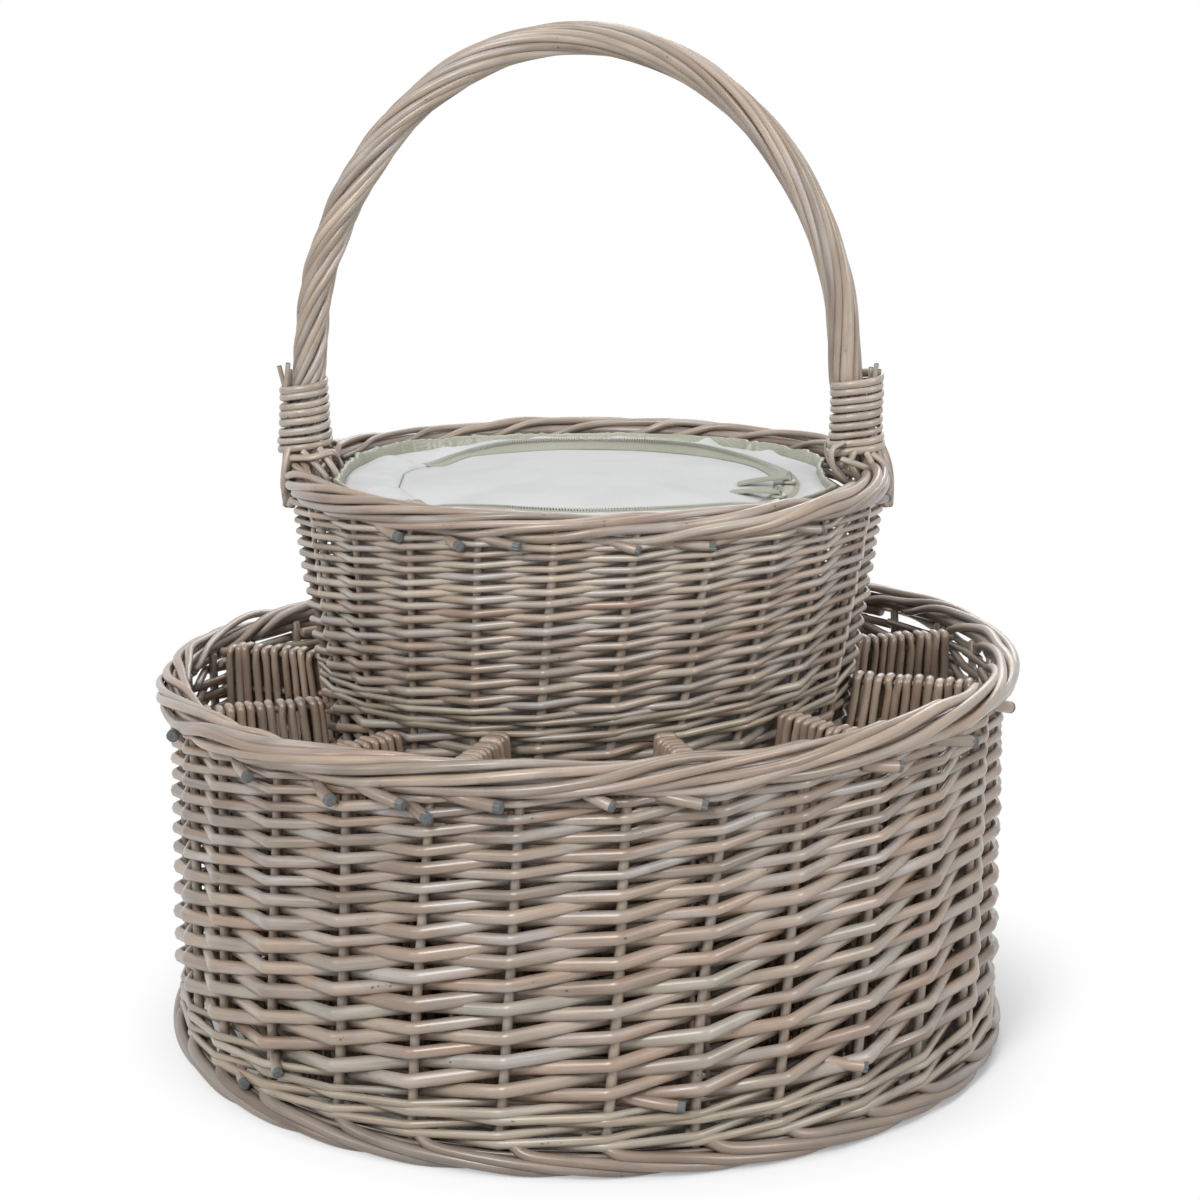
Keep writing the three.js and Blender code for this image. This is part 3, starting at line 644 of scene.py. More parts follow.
def linear(red: int, green: int, blue: int) -> Colour:
    """A colour as it shows on a screen, as the linear values that a material takes.

    Args:
        red: From 0 to 255.
        green: From 0 to 255.
        blue: From 0 to 255.

    Returns:
        The linear colour.
    """
    shares = (value / 255 for value in (red, green, blue))
    return tuple(s / 12.92 if s <= 0.04045 else ((s + 0.055) / 1.055) ** 2.4 for s in shares)


def surface(name: str, roughness: float = 0.8) -> tuple[Material, Graph, Node]:
    """Starts a material with its shader.

    Args:
        name: The material's name.
        roughness: The shader's roughness.

    Returns:
        The material, a graph for placing its nodes, and the shader node.
    """
    material = bpy.data.materials.new(name)
    material.use_nodes = True
    shader = material.node_tree.nodes["Principled BSDF"]
    shader.inputs["Roughness"].default_value = roughness
    return material, Graph(material.node_tree), shader


@dataclass(frozen=True)
class Willow:
    """One finish of willow rods."""

    name: str
    pale: Colour
    deep: Colour
    warm: Colour
    # The wash colour and its share make pale patches that are partly a real wash and partly painted sheen.
    wash_sheen_colour: Colour
    warmth: float = 0.5
    wash_and_sheen: float = 0.6
    streaks: float = 0.6
    specks: float = 0.8
    gloss: float = 0.5
    relief: float = 0.22
    coat: float = 0.35

    def material(self, group: Tree) -> Material:
        """Builds the material.

        Args:
            group: The willow group.

        Returns:
            The material.
        """
        material, graph, shader = surface(self.name)
        inputs = {
            "Rod": graph.add("Attribute", attribute_name="rod").outputs["Vector"],
            "Grain": graph.add("Attribute", attribute_name="grain").outputs["Vector"],
            "Pale": (*self.pale, 1),
            "Deep": (*self.deep, 1),
            "Warm": (*self.warm, 1),
            "Wash sheen colour": (*self.wash_sheen_colour, 1),
            "Warmth": self.warmth,
            "Wash and sheen": self.wash_and_sheen,
            "Streaks": self.streaks,
            "Specks": self.specks,
        }
        look = graph.add("Group", inputs, node_tree=group).outputs
        bump = graph.add("Bump", {"Height": look["Height"], "Strength": self.relief, "Distance": 0.0003})
        inputs = {
            "Base Color": look["Color"],
            "Roughness": look["Roughness"],
            "Normal": bump.outputs[0],
            "Specular IOR Level": self.gloss,
            "Coat Weight": self.coat,
            "Coat Roughness": 0.28,
        }
        graph.feed(shader, inputs)
        return material


@dataclass(frozen=True)
class Cloth:
    """One finish of cloth, webbing or foam."""

    name: str
    colour: Colour
    shade: Colour
    threads: float = 1200.0
    mottle: float = 0.4
    relief: float = 0.3
    gloss: float = 0.2
    roughness: float | None = None

    def material(self, group: Tree) -> Material:
        """Builds the material.

        Args:
            group: The woven cloth group.

        Returns:
            The material.
        """
        material, graph, shader = surface(self.name)
        inputs = {
            "Vector": graph.add("TexCoord").outputs["Object"],
            "Color": (*self.colour, 1),
            "Shade": (*self.shade, 1),
            "Threads": self.threads,
            "Mottle": self.mottle,
        }
        look = graph.add("Group", inputs, node_tree=group).outputs
        bump = graph.add("Bump", {"Height": look["Height"], "Strength": self.relief, "Distance": 0.0002})
        inputs = {
            "Base Color": look["Color"],
            "Roughness": look["Roughness"] if self.roughness is None else self.roughness,
            "Normal": bump.outputs[0],
            "Specular IOR Level": self.gloss,
        }
        graph.feed(shader, inputs)
        return material


WALL = Willow(
    "washed_willow",
    pale=linear(183, 173, 156),
    deep=linear(118, 108, 97),
    warm=linear(158, 127, 106),
    wash_sheen_colour=linear(170, 164, 159),
    warmth=0.72,
    coat=0.55,
)
FINE = Willow(
    "fine_willow",
    pale=linear(180, 168, 148),
    deep=linear(124, 112, 97),
    warm=linear(154, 130, 108),
    wash_sheen_colour=linear(168, 160, 150),
    warmth=0.4,
    coat=0.5,
)
RIM = Willow(
    "rim_willow",
    pale=linear(183, 168, 150),
    deep=linear(118, 104, 92),
    warm=linear(157, 129, 109),
    wash_sheen_colour=linear(167, 158, 152),
    warmth=0.6,
    coat=0.45,
)
FOOT = Willow(
    "foot_willow",
    pale=linear(158, 144, 130),
    deep=linear(102, 90, 80),
    warm=linear(138, 114, 97),
    wash_sheen_colour=linear(144, 135, 129),
)
DARK = Willow(
    "divider_willow",
    pale=linear(178, 158, 140),
    deep=linear(118, 101, 88),
    warm=linear(150, 120, 98),
    wash_sheen_colour=linear(162, 150, 138),
    wash_and_sheen=0.4,
    gloss=0.7,
)
HANDLE = Willow(
    "handle_willow",
    pale=linear(186, 171, 153),
    deep=linear(132, 117, 104),
    warm=linear(164, 141, 121),
    wash_sheen_colour=linear(180, 173, 168),
    coat=0.2,
)
LASHING = Willow(
    "lashing_willow",
    pale=linear(186, 173, 158),
    deep=linear(144, 130, 116),
    warm=linear(166, 146, 127),
    wash_sheen_colour=linear(180, 173, 166),
)
STAKE = Willow(
    "stake_willow",
    pale=linear(172, 158, 142),
    deep=linear(122, 108, 96),
    warm=linear(150, 126, 107),
    wash_sheen_colour=linear(158, 150, 144),
)

GREY_CLOTH = Cloth("grey_cloth", colour=linear(192, 192, 191), shade=linear(172, 173, 174), threads=900.0)
LID_CLOTH = Cloth(
    "lid_cloth", colour=linear(202, 202, 201), shade=linear(184, 184, 184), threads=900.0, mottle=0.5
)
FOAM = Cloth(
    "foam",
    colour=linear(232, 232, 228),
    shade=linear(218, 218, 214),
    threads=400.0,
    mottle=0.3,
    relief=0.15,
)
SATIN = Cloth(
    "sage_satin",
    colour=linear(164, 165, 148),
    shade=linear(124, 124, 108),
    threads=700.0,
    mottle=0.8,
    relief=0.9,
    gloss=0.8,
    roughness=0.32,
)
WEBBING = Cloth(
    "sage_webbing",
    colour=linear(166, 167, 153),
    shade=linear(140, 140, 127),
    threads=800.0,
    mottle=0.6,
    relief=0.5,
)


def plain(name: str, colour: Colour, roughness: float, metallic: float) -> Material:
    """A smooth finish that is scuffed a little here and there.

    Args:
        name: The material's name.
        colour: Its colour.
        roughness: How rough it is where it is not scuffed.
        metallic: How metallic it is.

    Returns:
        The material.
    """
    material, graph, shader = surface(name)
    place = graph.add("TexCoord").outputs["Object"]
    scuff = graph.noise(place, 420.0, 3.0, 0.6)
    worn = graph.blend(graph.ramp(scuff, 0.5, 0.75, (0.0, 0.35)), colour, tuple(c * 0.7 for c in colour))
    rough = graph.ramp(scuff, 0.3, 0.8, (roughness, roughness + 0.2))
    graph.feed(shader, {"Base Color": worn, "Roughness": rough, "Metallic": metallic})
    return material


class Finishes:
    """Every material of the basket, built once."""

    def __init__(self) -> None:
        """Builds the materials."""
        willow = willow_group()
        woven = cloth_group()
        self.cloth = GREY_CLOTH.material(woven)
        self.lid_cloth = LID_CLOTH.material(woven)
        self.foam = FOAM.material(woven)
        self.satin = SATIN.material(woven)
        self.webbing = WEBBING.material(woven)
        self.liner = plain("silver_liner", linear(204, 206, 208), 0.40, 0.25)
        self.teeth = plain("zip_teeth", linear(164, 163, 152), 0.35, 0.0)
        self.slider = plain("slider_paint", linear(150, 151, 137), 0.36, 0.25)
        self.wall = WALL.material(willow)
        self.fine = FINE.material(willow)
        self.rim = RIM.material(willow)
        self.foot = FOOT.material(willow)
        self.dark = DARK.material(willow)
        self.handle = HANDLE.material(willow)
        self.lashing = LASHING.material(willow)
        self.stake = STAKE.material(willow)
        self.cut = self._cut_wood()

    @staticmethod
    def _cut_wood() -> Material:
        """The weathered grey of a rod's cut end, with its pith and pores.

        Returns:
            The material.
        """
        material, graph, shader = surface("cut_willow", 0.85)
        grain = graph.add("Attribute", attribute_name="grain").outputs["Vector"]
        pores = graph.noise(graph.stretched(grain, 1400.0, 20.0), 1.0, 3.0, 0.7)
        colour = graph.blend(graph.ramp(pores, 0.52, 0.72), linear(92, 96, 96), linear(166, 163, 154))
        bump = graph.add("Bump", {"Height": pores, "Strength": 0.5, "Distance": 0.0004})
        graph.feed(shader, {"Base Color": colour, "Normal": bump.outputs[0]})
        return material


@dataclass
class Part:
    """A part of the basket, which is built in the basket's own finishes."""

    finishes: Finishes


# The woven walls


@dataclass(frozen=True)
class Weave:
    """One block of weaving.

    Attributes:
        over: How many stakes a rod passes in front of.
        under: How many it then passes behind.
        rows: How many rows the block has.
        pitch: The rows' spacing at the bottom and at the top.
        rod: The rods' thickness at the bottom and at the top.
        bottom: Where the block starts.
        top: Where it ends.
        loose: How far a row strays up and down.
    """

    over: int
    under: int
    rows: int
    pitch: Pair
    rod: Pair
    bottom: float
    top: float
    loose: float = 0.0006


@dataclass(frozen=True)
class WovenWall:
    """A round wall of rods woven between upright stakes.

    Attributes:
        stakes: How many stakes it has.
        phase: The angle of the first one in radians.
        stake: The stakes' thickness.
        middle: Takes a height, and gives how far from the axis the stakes stand there.
        reach: How far each side of a stake a rod's bend begins.
        lean: How far the wall's rim rises for each metre to the right.
        twist: How far the stakes turn for each metre up, in radians, and the height where they haven't.
        flat: A rod's thickness outwards as a share of its width.
        steps: Points in each bend.
        sway: How far the rows rise and fall in slow waves.
        uneven: How much the rods' thickness differs, as a share of it.
        gap: The gap between a stake and a rod, and how far the rod strays from it.
        bow: How far a stake strays sideways along its height.
    """

    stakes: int
    phase: float
    stake: float
    middle: Callable[[Array], Array]
    reach: float
    lean: float
    twist: Pair
    flat: float = 0.8
    steps: int = 4
    sway: float = 0.0012
    uneven: float = 0.07
    gap: float = 0.0004
    bow: float = 0.0008

    def turned(self, height: Array) -> Array:
        """How far the slanting stakes have turned round the wall at a height, in radians."""
        return self.twist[0] * (height - self.twist[1])

    def strays(self) -> Array:
        """How far each stake is set from its even place, in radians."""
        return np.random.default_rng(self.stakes).normal(0, math.radians(0.55), self.stakes)

    def heights(self, weave: Weave) -> Array:
        """How high each row of a block lies at a stake, from one before the first row.

        Args:
            weave: The block.

        Returns:
            The heights of the rows, the first one half hidden below the block.
        """
        row = np.arange(-1, weave.rows + 1) + 0.5
        taper = np.interp(row, [0, weave.rows], weave.pitch)
        rise = np.cumsum(taper)
        share = (rise - rise[0]) / (rise[-1] - rise[0])
        return weave.bottom + share * (weave.top - weave.bottom) - 0.3 * weave.pitch[0]

    def rods(self, work: Wickerwork, weave: Weave, tone: Pair = (0.5, 0.24)) -> None:
        """Weaves one block.

        Args:
            work: The wickerwork that the rods go into.
            weave: The block.
            tone: Mean and spread of the rods' tone.
        """
        rng = work.rng
        heights = self.heights(weave)
        count = len(heights)
        place = np.arange(self.stakes)[:, None] + np.arange(-1, count - 1)[None, :]
        angle = self.phase + place * math.tau / self.stakes + self.strays()[place % self.stakes]
        slow = wave(angle, rng, 1.0) * np.sin(np.linspace(0, math.pi, count))[None, :]
        height = heights[None, :] + rng.normal(0, weave.loose, angle.shape) + slow * self.sway
        cycle = weave.over + weave.under
        front = (np.arange(-1, count - 1) % cycle) < weave.over
        front[-1] = False
        thick = np.interp(np.arange(count), [0, count - 1], weave.rod)
        each = rng.normal(1, self.uneven, (self.stakes, 1)).clip(0.84, 1.16)
        depth = (self.stake + thick * self.flat) / 2 + self.gap
        side = np.where(front, depth, -depth)[None, :]
        radius = self.middle(height) + side + rng.normal(0, self.gap, angle.shape)
        knots = leaned(around(radius, angle + self.turned(height), height), self.lean)
        paths, number = creased(knots, self.reach, self.steps)
        radii = np.interp(number, np.arange(count), thick) / 2 * each
        swell = 1 + 0.05 * np.sin(number * 2.3 + rng.uniform(0, 6, (self.stakes, 1)))
        outs = unit(paths * [1, 1, 0])
        work.add(paths, radii * swell, outs, flat=self.flat, tone=tone)

    def uprights(self, work: Wickerwork, bottom: float, top: float) -> None:
        """Sets the stakes.

        Args:
            work: The wickerwork that they go into.
            bottom: Where they start.
            top: Where they end.
        """
        rng = work.rng
        share = np.linspace(0, 1, 14)[None, :]
        height = np.linspace(bottom, top, share.size) * np.ones((self.stakes, 1))
        centre = np.arange(self.stakes)[:, None] * math.tau / self.stakes
        centre = self.phase + centre + self.strays()[:, None]
        stray = rng.normal(0, self.bow, (self.stakes, 1)) * np.sin(np.linspace(0, math.pi, share.size) * 1.5)
        radius = self.middle(height)
        paths = around(radius, centre + self.turned(height) + stray / radius, height)
        thick = self.stake / 2 * rng.normal(1, 0.05, (self.stakes, 1)) * np.linspace(1.03, 0.97, share.size)
        work.add(leaned(paths, self.lean), thick, around(1.0, centre, 0.0), tone=(0.5, 0.2))


def outer_middle(height: Array) -> Array:
    """How far from the axis the outer wall's stakes stand, which is the same at every height."""
    return np.full_like(height, 0.2728)


# Where the inner wall's stakes stand at their foot, by radius and height, and how far they run out
# and up from there.
INNER_FOOT = (0.1432, 0.0263)
INNER_RUN = (0.0488, 0.3434)


def inner_middle(height: Array) -> Array:
    """How far from the axis the inner wall's stakes stand at a height."""
    return INNER_FOOT[0] + INNER_RUN[0] * (height - INNER_FOOT[1]) / INNER_RUN[1]


@dataclass
class OuterBasket(Part):
    """The outer wall, from the wale over the foot to the lower rim."""

    wall: WovenWall = WovenWall(
        stakes=30, phase=math.radians(3.0), stake=0.0064, middle=outer_middle,
        reach=0.0034, lean=LEAN, twist=(0.235, 0.14),
    )
    wale: Weave = Weave(
        over=2, under=1, rows=6, pitch=(0.0056, 0.0053), rod=(0.0062, 0.0058), bottom=0.017, top=0.049,
        loose=0.0004,
    )
    weave: Weave = Weave(
        over=1, under=1, rows=27, pitch=(0.0078, 0.0041), rod=(0.0096, 0.0061), bottom=0.0475, top=0.241
    )

    def build(self) -> None:
        """Weaves the wall and sets its stakes."""
        work = Wickerwork(11)
        self.wall.rods(work, self.weave, tone=(0.43, 0.27))
        settle(work.build("outer_weave_rods", self.finishes.wall), "basket", "willow", "outer_weave")
        work = Wickerwork(12)
        self.wall.rods(work, self.wale)
        settle(work.build("base_wale_rods", self.finishes.fine), "basket", "fine_willow", "base_wale")
        work = Wickerwork(13)
        self.wall.uprights(work, 0.012, 0.246)
        piece = work.build("outer_stakes", self.finishes.stake)
        settle(piece, "basket", "willow", "outer_weave", "base_wale")


@dataclass
class InnerBasket(Part):
    """The inner wall, which leans outwards up to its own border."""

    wall: WovenWall = WovenWall(
        stakes=25, phase=math.radians(6.4), stake=0.0058, middle=inner_middle,
        reach=0.0022, lean=0.0, twist=(0.56, 0.3),
    )
    lower: Weave = Weave(
        over=1, under=1, rows=31, pitch=(0.0070, 0.0058), rod=(0.0072, 0.0058), bottom=0.026, top=0.244
    )
    band: Weave = Weave(
        over=2, under=1, rows=5, pitch=(0.0042, 0.0040), rod=(0.0044, 0.0040), bottom=0.243, top=0.2645,
        loose=0.0003,
    )
    upper: Weave = Weave(
        over=1, under=1, rows=25, pitch=(0.0052, 0.0030), rod=(0.0056, 0.0040), bottom=0.2625, top=0.373,
        loose=0.0004,
    )

    def build(self) -> None:
        """Weaves the three blocks and sets the stakes."""
        for seed, name, weave, finish, slot, node in (
            (21, "inner_weave_lower_rods", self.lower, self.finishes.wall, "willow", "inner_weave_lower"),
            (22, "inner_fine_band_rods", self.band, self.finishes.fine, "fine_willow", "inner_fine_band"),
            (23, "inner_weave_upper_rods", self.upper, self.finishes.wall, "willow", "inner_weave_upper"),
        ):
            work = Wickerwork(seed)
            self.wall.rods(work, weave, tone=(0.57, 0.27))
            settle(work.build(name, finish), "basket", slot, node)
        work = Wickerwork(24)
        self.wall.uprights(work, 0.022, 0.380)
        nodes = ("inner_weave_lower", "inner_fine_band", "inner_weave_upper")
        settle(work.build("inner_stakes", self.finishes.stake), "basket", "willow", *nodes)


# The borders


@dataclass
class RolledBorder(Part):
    """A border of rods that each climb over the rope that their neighbours make and dive inside it.

    Attributes:
        name: The piece's name.
        node: The CAD node that it stands for.
        rods: How many rods it has.
        ring: How far from the axis the middle of the rope lies.
        height: How high it lies.
        rope: Half the rope's thickness.
        butt: A rod's thickness where it comes out.
        tip: Its thickness where it dives in.
        run: How many degrees round the basket each knot of a rod's way lies.
        seed: Seed of the border's random numbers.
        lean: How far the border rises for each metre to the right.
        climb: How many degrees round the rope each knot lies, and at what share of its depth.
        loose: How far the knots stray in each of the three.
    """

    name: str
    node: str
    rods: int
    ring: float
    height: float
    rope: float
    butt: float
    tip: float
    run: tuple[float, ...]
    seed: int
    lean: float = 0.0
    climb: tuple[Pair, ...] = (
        (-112, 0.8), (-70, 1.0), (-26, 1.02), (20, 1.03), (66, 1.03), (108, 1.0), (152, 0.98), (208, 0.8),
    )
    loose: tuple[float, float, float] = (1.6, 13.0, 0.11)

    def build(self) -> None:
        """Lays the border's rods round its hidden core."""
        work = Wickerwork(self.seed, 10)
        rng = work.rng
        knots = np.array([(along, *turned) for along, turned in zip(self.run, self.climb)])
        lines = []
        for rod in range(self.rods):
            moved = knots + rng.normal(0, 1, knots.shape) * self.loose
            moved[:, 0] = knots[:, 0] + rng.normal(0, self.loose[0])
            line = curved(moved, 6)
            line[:, 0] += rod * 360 / self.rods
            lines.append(line)
        route = np.stack(lines)
        each = rng.normal(1, 0.1, (self.rods, 1)).clip(0.8, 1.2)
        thick = np.linspace(self.butt, self.tip, route.shape[1])[None, :] / 2 * each
        angle = np.radians(route[:, :, 0])
        turn = np.radians(route[:, :, 1])
        depth = (self.rope - thick) * route[:, :, 2]
        sag = wave(angle, np.random.default_rng(self.seed + 1), 0.0007)
        middle = leaned(around(self.ring, angle, self.height + sag), self.lean)
        paths = around(self.ring + depth * np.cos(turn), angle, self.height + sag + depth * np.sin(turn))
        paths = leaned(paths, self.lean)
        work.add(paths, thick, unit(paths - middle), flat=0.95, tone=(0.55, 0.25))
        # The hidden core is given the deepest tone, painted shade where it shows in the gaps between the
        # rods.
        angle = np.linspace(0, math.tau, 120, endpoint=False)
        core = leaned(around(self.ring, angle, self.height), self.lean)
        work.add(core, self.rope * 0.42, around(1.0, angle, 0.0), closed=True, tone=(0.1, 0.05))
        settle(work.build(self.name, self.finishes.rim), "basket", "rim_willow", self.node)


@dataclass
class FootBorder(Part):
    """The rolled foot: rods that come out over it, run down to the right and tuck under.

    The knots are one rod's way, by degrees round the basket, radius and height. The core is the rings
    hidden behind the rods, by radius, height and half thickness.
    """

    rods: int = 30
    rod: float = 0.0076
    knots: tuple[Place, ...] = (
        (-3.2, 0.2690, 0.0225),
        (-0.6, 0.2765, 0.0190),
        (1.8, 0.2807, 0.0152),
        (9.0, 0.2814, 0.0116),
        (17.0, 0.2812, 0.0078),
        (24.5, 0.2795, 0.0047),
        (30.0, 0.2745, 0.0041),
        (36.0, 0.2680, 0.0048),
    )
    core: tuple[Place, ...] = (
        (0.2715, 0.0085, 0.0052),
        (0.2765, 0.0135, 0.0018),
        (0.2765, 0.0095, 0.0018),
    )

    def build(self) -> None:
        """Lays the foot's rods, its core and the thin rods behind them."""
        work = Wickerwork(31, 10)
        rng = work.rng
        lines = []
        for rod in range(self.rods):
            moved = np.array(self.knots)
            moved[:, 0] += rng.normal(0, 0.6) + rod * 360 / self.rods + 3
            moved[1:-2, 1] += rng.normal(0, 0.0004, len(moved) - 3)
            moved[1:-3, 2] += rng.normal(0, 0.0005, len(moved) - 4)
            lines.append(curved(moved, 6))
        route = np.stack(lines)
        each = rng.normal(1, 0.04, (self.rods, 1))
        thick = np.linspace(1.04, 0.94, route.shape[1])[None, :] * self.rod / 2 * each
        height = np.maximum(route[:, :, 2], thick + 0.0001)
        angle = np.radians(route[:, :, 0])
        paths = around(route[:, :, 1], angle, height)
        work.add(paths, thick, unit(paths - around(0.272, angle, 0.008)), tone=(0.5, 0.24))
        # The core rings are given a deep tone, painted shade where they show between the rods.
        angle = np.linspace(0, math.tau, 120, endpoint=False)
        for radius, height, half in self.core:
            ring = around(radius, angle, height + wave(angle, rng, 0.0004))
            work.add(ring, half, around(1.0, angle, 0.0), closed=True, tone=(0.15, 0.1))
        settle(work.build("foot_border_rods", self.finishes.foot), "basket", "rim_willow", "foot_border")


@dataclass
class CutEnds(Part):
    """The sawn ends of the stakes, which poke out under the borders and over the wale.

    Each one is given by its degrees round the basket and its height.
    """

    under_rim: tuple[Pair, ...] = (
        (-92, 0.234), (-68, 0.234), (-45.8, 0.232), (-32, 0.229), (-22, 0.232), (-19, 0.225), (-10, 0.234),
        (3, 0.234), (14, 0.231), (41, 0.234), (57, 0.232), (72, 0.235), (95, 0.232), (117, 0.234),
        (139, 0.230), (158, 0.234), (181, 0.232), (203, 0.234), (226, 0.229), (246, 0.233),
    )
    over_wale: tuple[Pair, ...] = (
        (-50, 0.020), (-42.8, 0.038), (11.8, 0.045), (37.2, 0.050), (104, 0.043), (131, 0.047),
        (176, 0.041), (229, 0.046),
    )
    under_top: tuple[Pair, ...] = (
        (-35, 0.3685), (-22.8, 0.3670), (-11.8, 0.3690), (9, 0.3670), (22.8, 0.3670), (47, 0.3680),
        (83, 0.3680), (118, 0.3670), (150, 0.3680), (187, 0.3670), (221, 0.3680), (262, 0.3670),
    )

    def build(self) -> None:
        """Places every cut end."""
        work = Wickerwork(41, 10)
        for places, reach, rod, lean in (
            (self.under_rim, 0.2892, 0.0078, LEAN),
            (self.over_wale, 0.2845, 0.0076, 0.0),
            (self.under_top, 0.2012, 0.0066, 0.0),
        ):
            for number, (degrees, height) in enumerate(places):
                path = self._path(work.rng, reach, math.radians(degrees), height, steep=number % 2 == 0)
                half = rod / 2 * work.rng.uniform(0.88, 1.06)
                outs = around(1.0, math.radians(degrees), 0.0)
                ends = (End.HIDDEN, End.CUT)
                work.add(leaned(path, lean), half, outs, ends=ends, tone=(0.35, 0.2), stained=3)
        piece = work.build("cut_ends", self.finishes.rim, self.finishes.cut)
        settle(piece, "basket", "rim_willow", "lower_rim", "upper_rim", "base_wale")

    @staticmethod
    def _path(rng: np.random.Generator, reach: float, angle: float, height: float, steep: bool) -> Array:
        """The way that a stake's end takes out of the border, up to its cut.

        Args:
            rng: The piece's own random numbers.
            reach: How far from the axis the cut lies.
            angle: Its angle in radians.
            height: Its height.
            steep: Whether it comes out well aside of its cut.

        Returns:
            The points of the end.
        """
        aside = rng.uniform(3.2, 4.6) if steep else rng.uniform(1.8, 2.8)
        back = math.radians(aside) * 0.29 / reach
        rise = rng.uniform(0.001, 0.004)
        out = rng.uniform(0.5, 1.1)
        knots = [
            around(reach - 0.018 * out, angle - back * 1.7, height + rise * 1.8),
            around(reach - 0.009 * out, angle - back * 0.9, height + rise),
            around(reach - 0.0015, angle, height),
        ]
        return curved(knots, 5)


# The base and the dividers


@dataclass
class Base(Part):
    """The round woven base on its crossed sticks. Its rods are given by half their thickness."""

    radius: float = 0.262
    first_ring: float = 0.018
    pitch: float = 0.0056
    half_rod: float = 0.0026
    level: float = 0.0207
    dip: float = 0.0035
    sticks: int = 8
    stick_end: float = 0.2605

    def build(self) -> None:
        """Weaves the disc and lays its sticks."""
        work = Wickerwork(51, 6)
        rings = int((self.radius - 0.016) / self.pitch)
        for ring in range(rings):
            radius = self.first_ring + ring * self.pitch
            stakes = 16 if radius < 0.1 else 32
            angle = np.linspace(0, math.tau, stakes * 3, endpoint=False)
            dip = self.dip * np.cos(angle * stakes / 2) * (1 if ring % 2 else -1)
            path = around(radius + wave(angle, work.rng, 0.0003), angle, self.level + dip)
            work.add(path, self.half_rod, UP, closed=True, tone=(0.4, 0.2))
        settle(work.build("base_weave_rods", self.finishes.wall), "basket", "willow", "base_weave")
        work = Wickerwork(52, 8)
        for stick in range(self.sticks * 2):
            angle = stick * math.pi / self.sticks
            level = 0.0132 if stick % 2 else 0.0138
            reach = np.linspace(0.002, self.stick_end, 12)
            path = around(reach, angle + work.rng.normal(0, 0.004), level)
            work.add(path, np.linspace(0.0042, 0.0036, 12), UP, tone=(0.45, 0.15))
            between = around(np.linspace(0.09, self.stick_end, 8), angle + math.pi / self.sticks / 2, 0.0200)
            work.add(between, 0.0024, UP, tone=(0.45, 0.15))
        settle(work.build("base_sticks_crossed", self.finishes.stake), "basket", "stick_wood", "base_sticks")


# How high each divider stands, and how many degrees it is set off its even place.
DIVIDER_TOPS = (0.250, 0.2525, 0.256, 0.258, 0.254, 0.249, 0.246, 0.247, 0.249, 0.240, 0.240, 0.250)
DIVIDER_SHIFTS = {2: -2.3, 10: 1.5, 11: 3.0, 12: -2.3}


@dataclass
class Divider(Part):
    """One divider of the bottle places: rods wrapped over its cross rods.

    The dividers are numbered from the front to the right.
    """

    number: int
    wraps: int = 12
    rod: float = 0.0061
    thick: float = 0.0150
    outer: float = 0.2622
    cross_gap: float = 0.0266

    def place(self, reach: Array, aside: Array, height: Array) -> Array:
        """Turns the divider's own measures into places in the basket.

        Args:
            reach: Distances from the axis along the divider.
            aside: Distances from its middle plane.
            height: Heights.

        Returns:
            The places.
        """
        angle = math.radians(15 + 30 * (self.number - 1) + DIVIDER_SHIFTS.get(self.number, 0.0))
        across = np.array([math.cos(angle), math.sin(angle), 0.0])
        return around(reach, angle, height) + np.asarray(aside)[..., None] * across

    def build(self) -> None:
        """Wraps the divider."""
        work = Wickerwork(600 + self.number)
        rng = work.rng
        side = (self.thick - self.rod * 0.8) / 2
        crest = DIVIDER_TOPS[self.number - 1]
        levels = np.array([0.0265, 0.09, 0.15, 0.2, crest - 0.012])
        for wrap in range(self.wraps):
            share = (wrap + 0.5 + rng.normal(0, 0.08)) / self.wraps
            top = crest - self.rod * 0.4 - abs(rng.normal(0, 0.0008))
            height = np.concatenate([levels, [top, top], levels[::-1]])
            aside = np.array([side] * 6 + [-side] * 6) + rng.normal(0, 0.0002, 12)
            inner = inner_middle(height) + 0.0078
            reach = inner + (self.outer - inner) * share + rng.normal(0, 0.0005, 12)
            path, _ = creased(self.place(reach, aside, height)[None], 0.0019, 4)
            out = unit(path - self.place(reach.mean(), np.array(0.0), np.array(0.2)))
            half = self.rod / 2 * rng.uniform(0.88, 1.06)
            work.add(path, half, out, flat=0.8, tone=(0.55, 0.22))
        for height in np.arange(crest - 0.0068, 0.03, -self.cross_gap):
            share = np.linspace(0, 1, 6)
            inner = float(inner_middle(height)) + 0.006
            reach = inner + (self.outer + 0.004 - inner) * share
            path = self.place(reach, rng.normal(0, 0.0003, 6), height + 0 * share)
            work.add(path, 0.0023, UP, tone=(0.5, 0.2))
        name = f"divider_{self.number:02d}"
        settle(work.build(name + "_wraps", self.finishes.dark), "basket", "dark_willow", name)


# The handle


@dataclass(frozen=True)
class Foot:
    """One foot of the bow: its lashing and the wraps that hold it to the rim.

    Attributes:
        name: Which foot it is.
        side: 1 for the right one and -1 for the left one.
        axis: How far to the right the middle of the lashing stands.
        bottom: Where the lashing starts.
        turns: How many turns it has.
        wide: Half its width at the bottom and at the top.
        wraps: The way of each wrap in front of the bow, which another one repeats behind it.
        tails: For each cut tail, how far it stands aside and to the back, how far it reaches over the
            lashing and how far it spreads.
    """

    name: str
    side: int
    axis: float
    bottom: float
    turns: int
    wide: Pair
    wraps: tuple[tuple[Place, ...], ...]
    tails: tuple[tuple[float, float, float, float], ...]


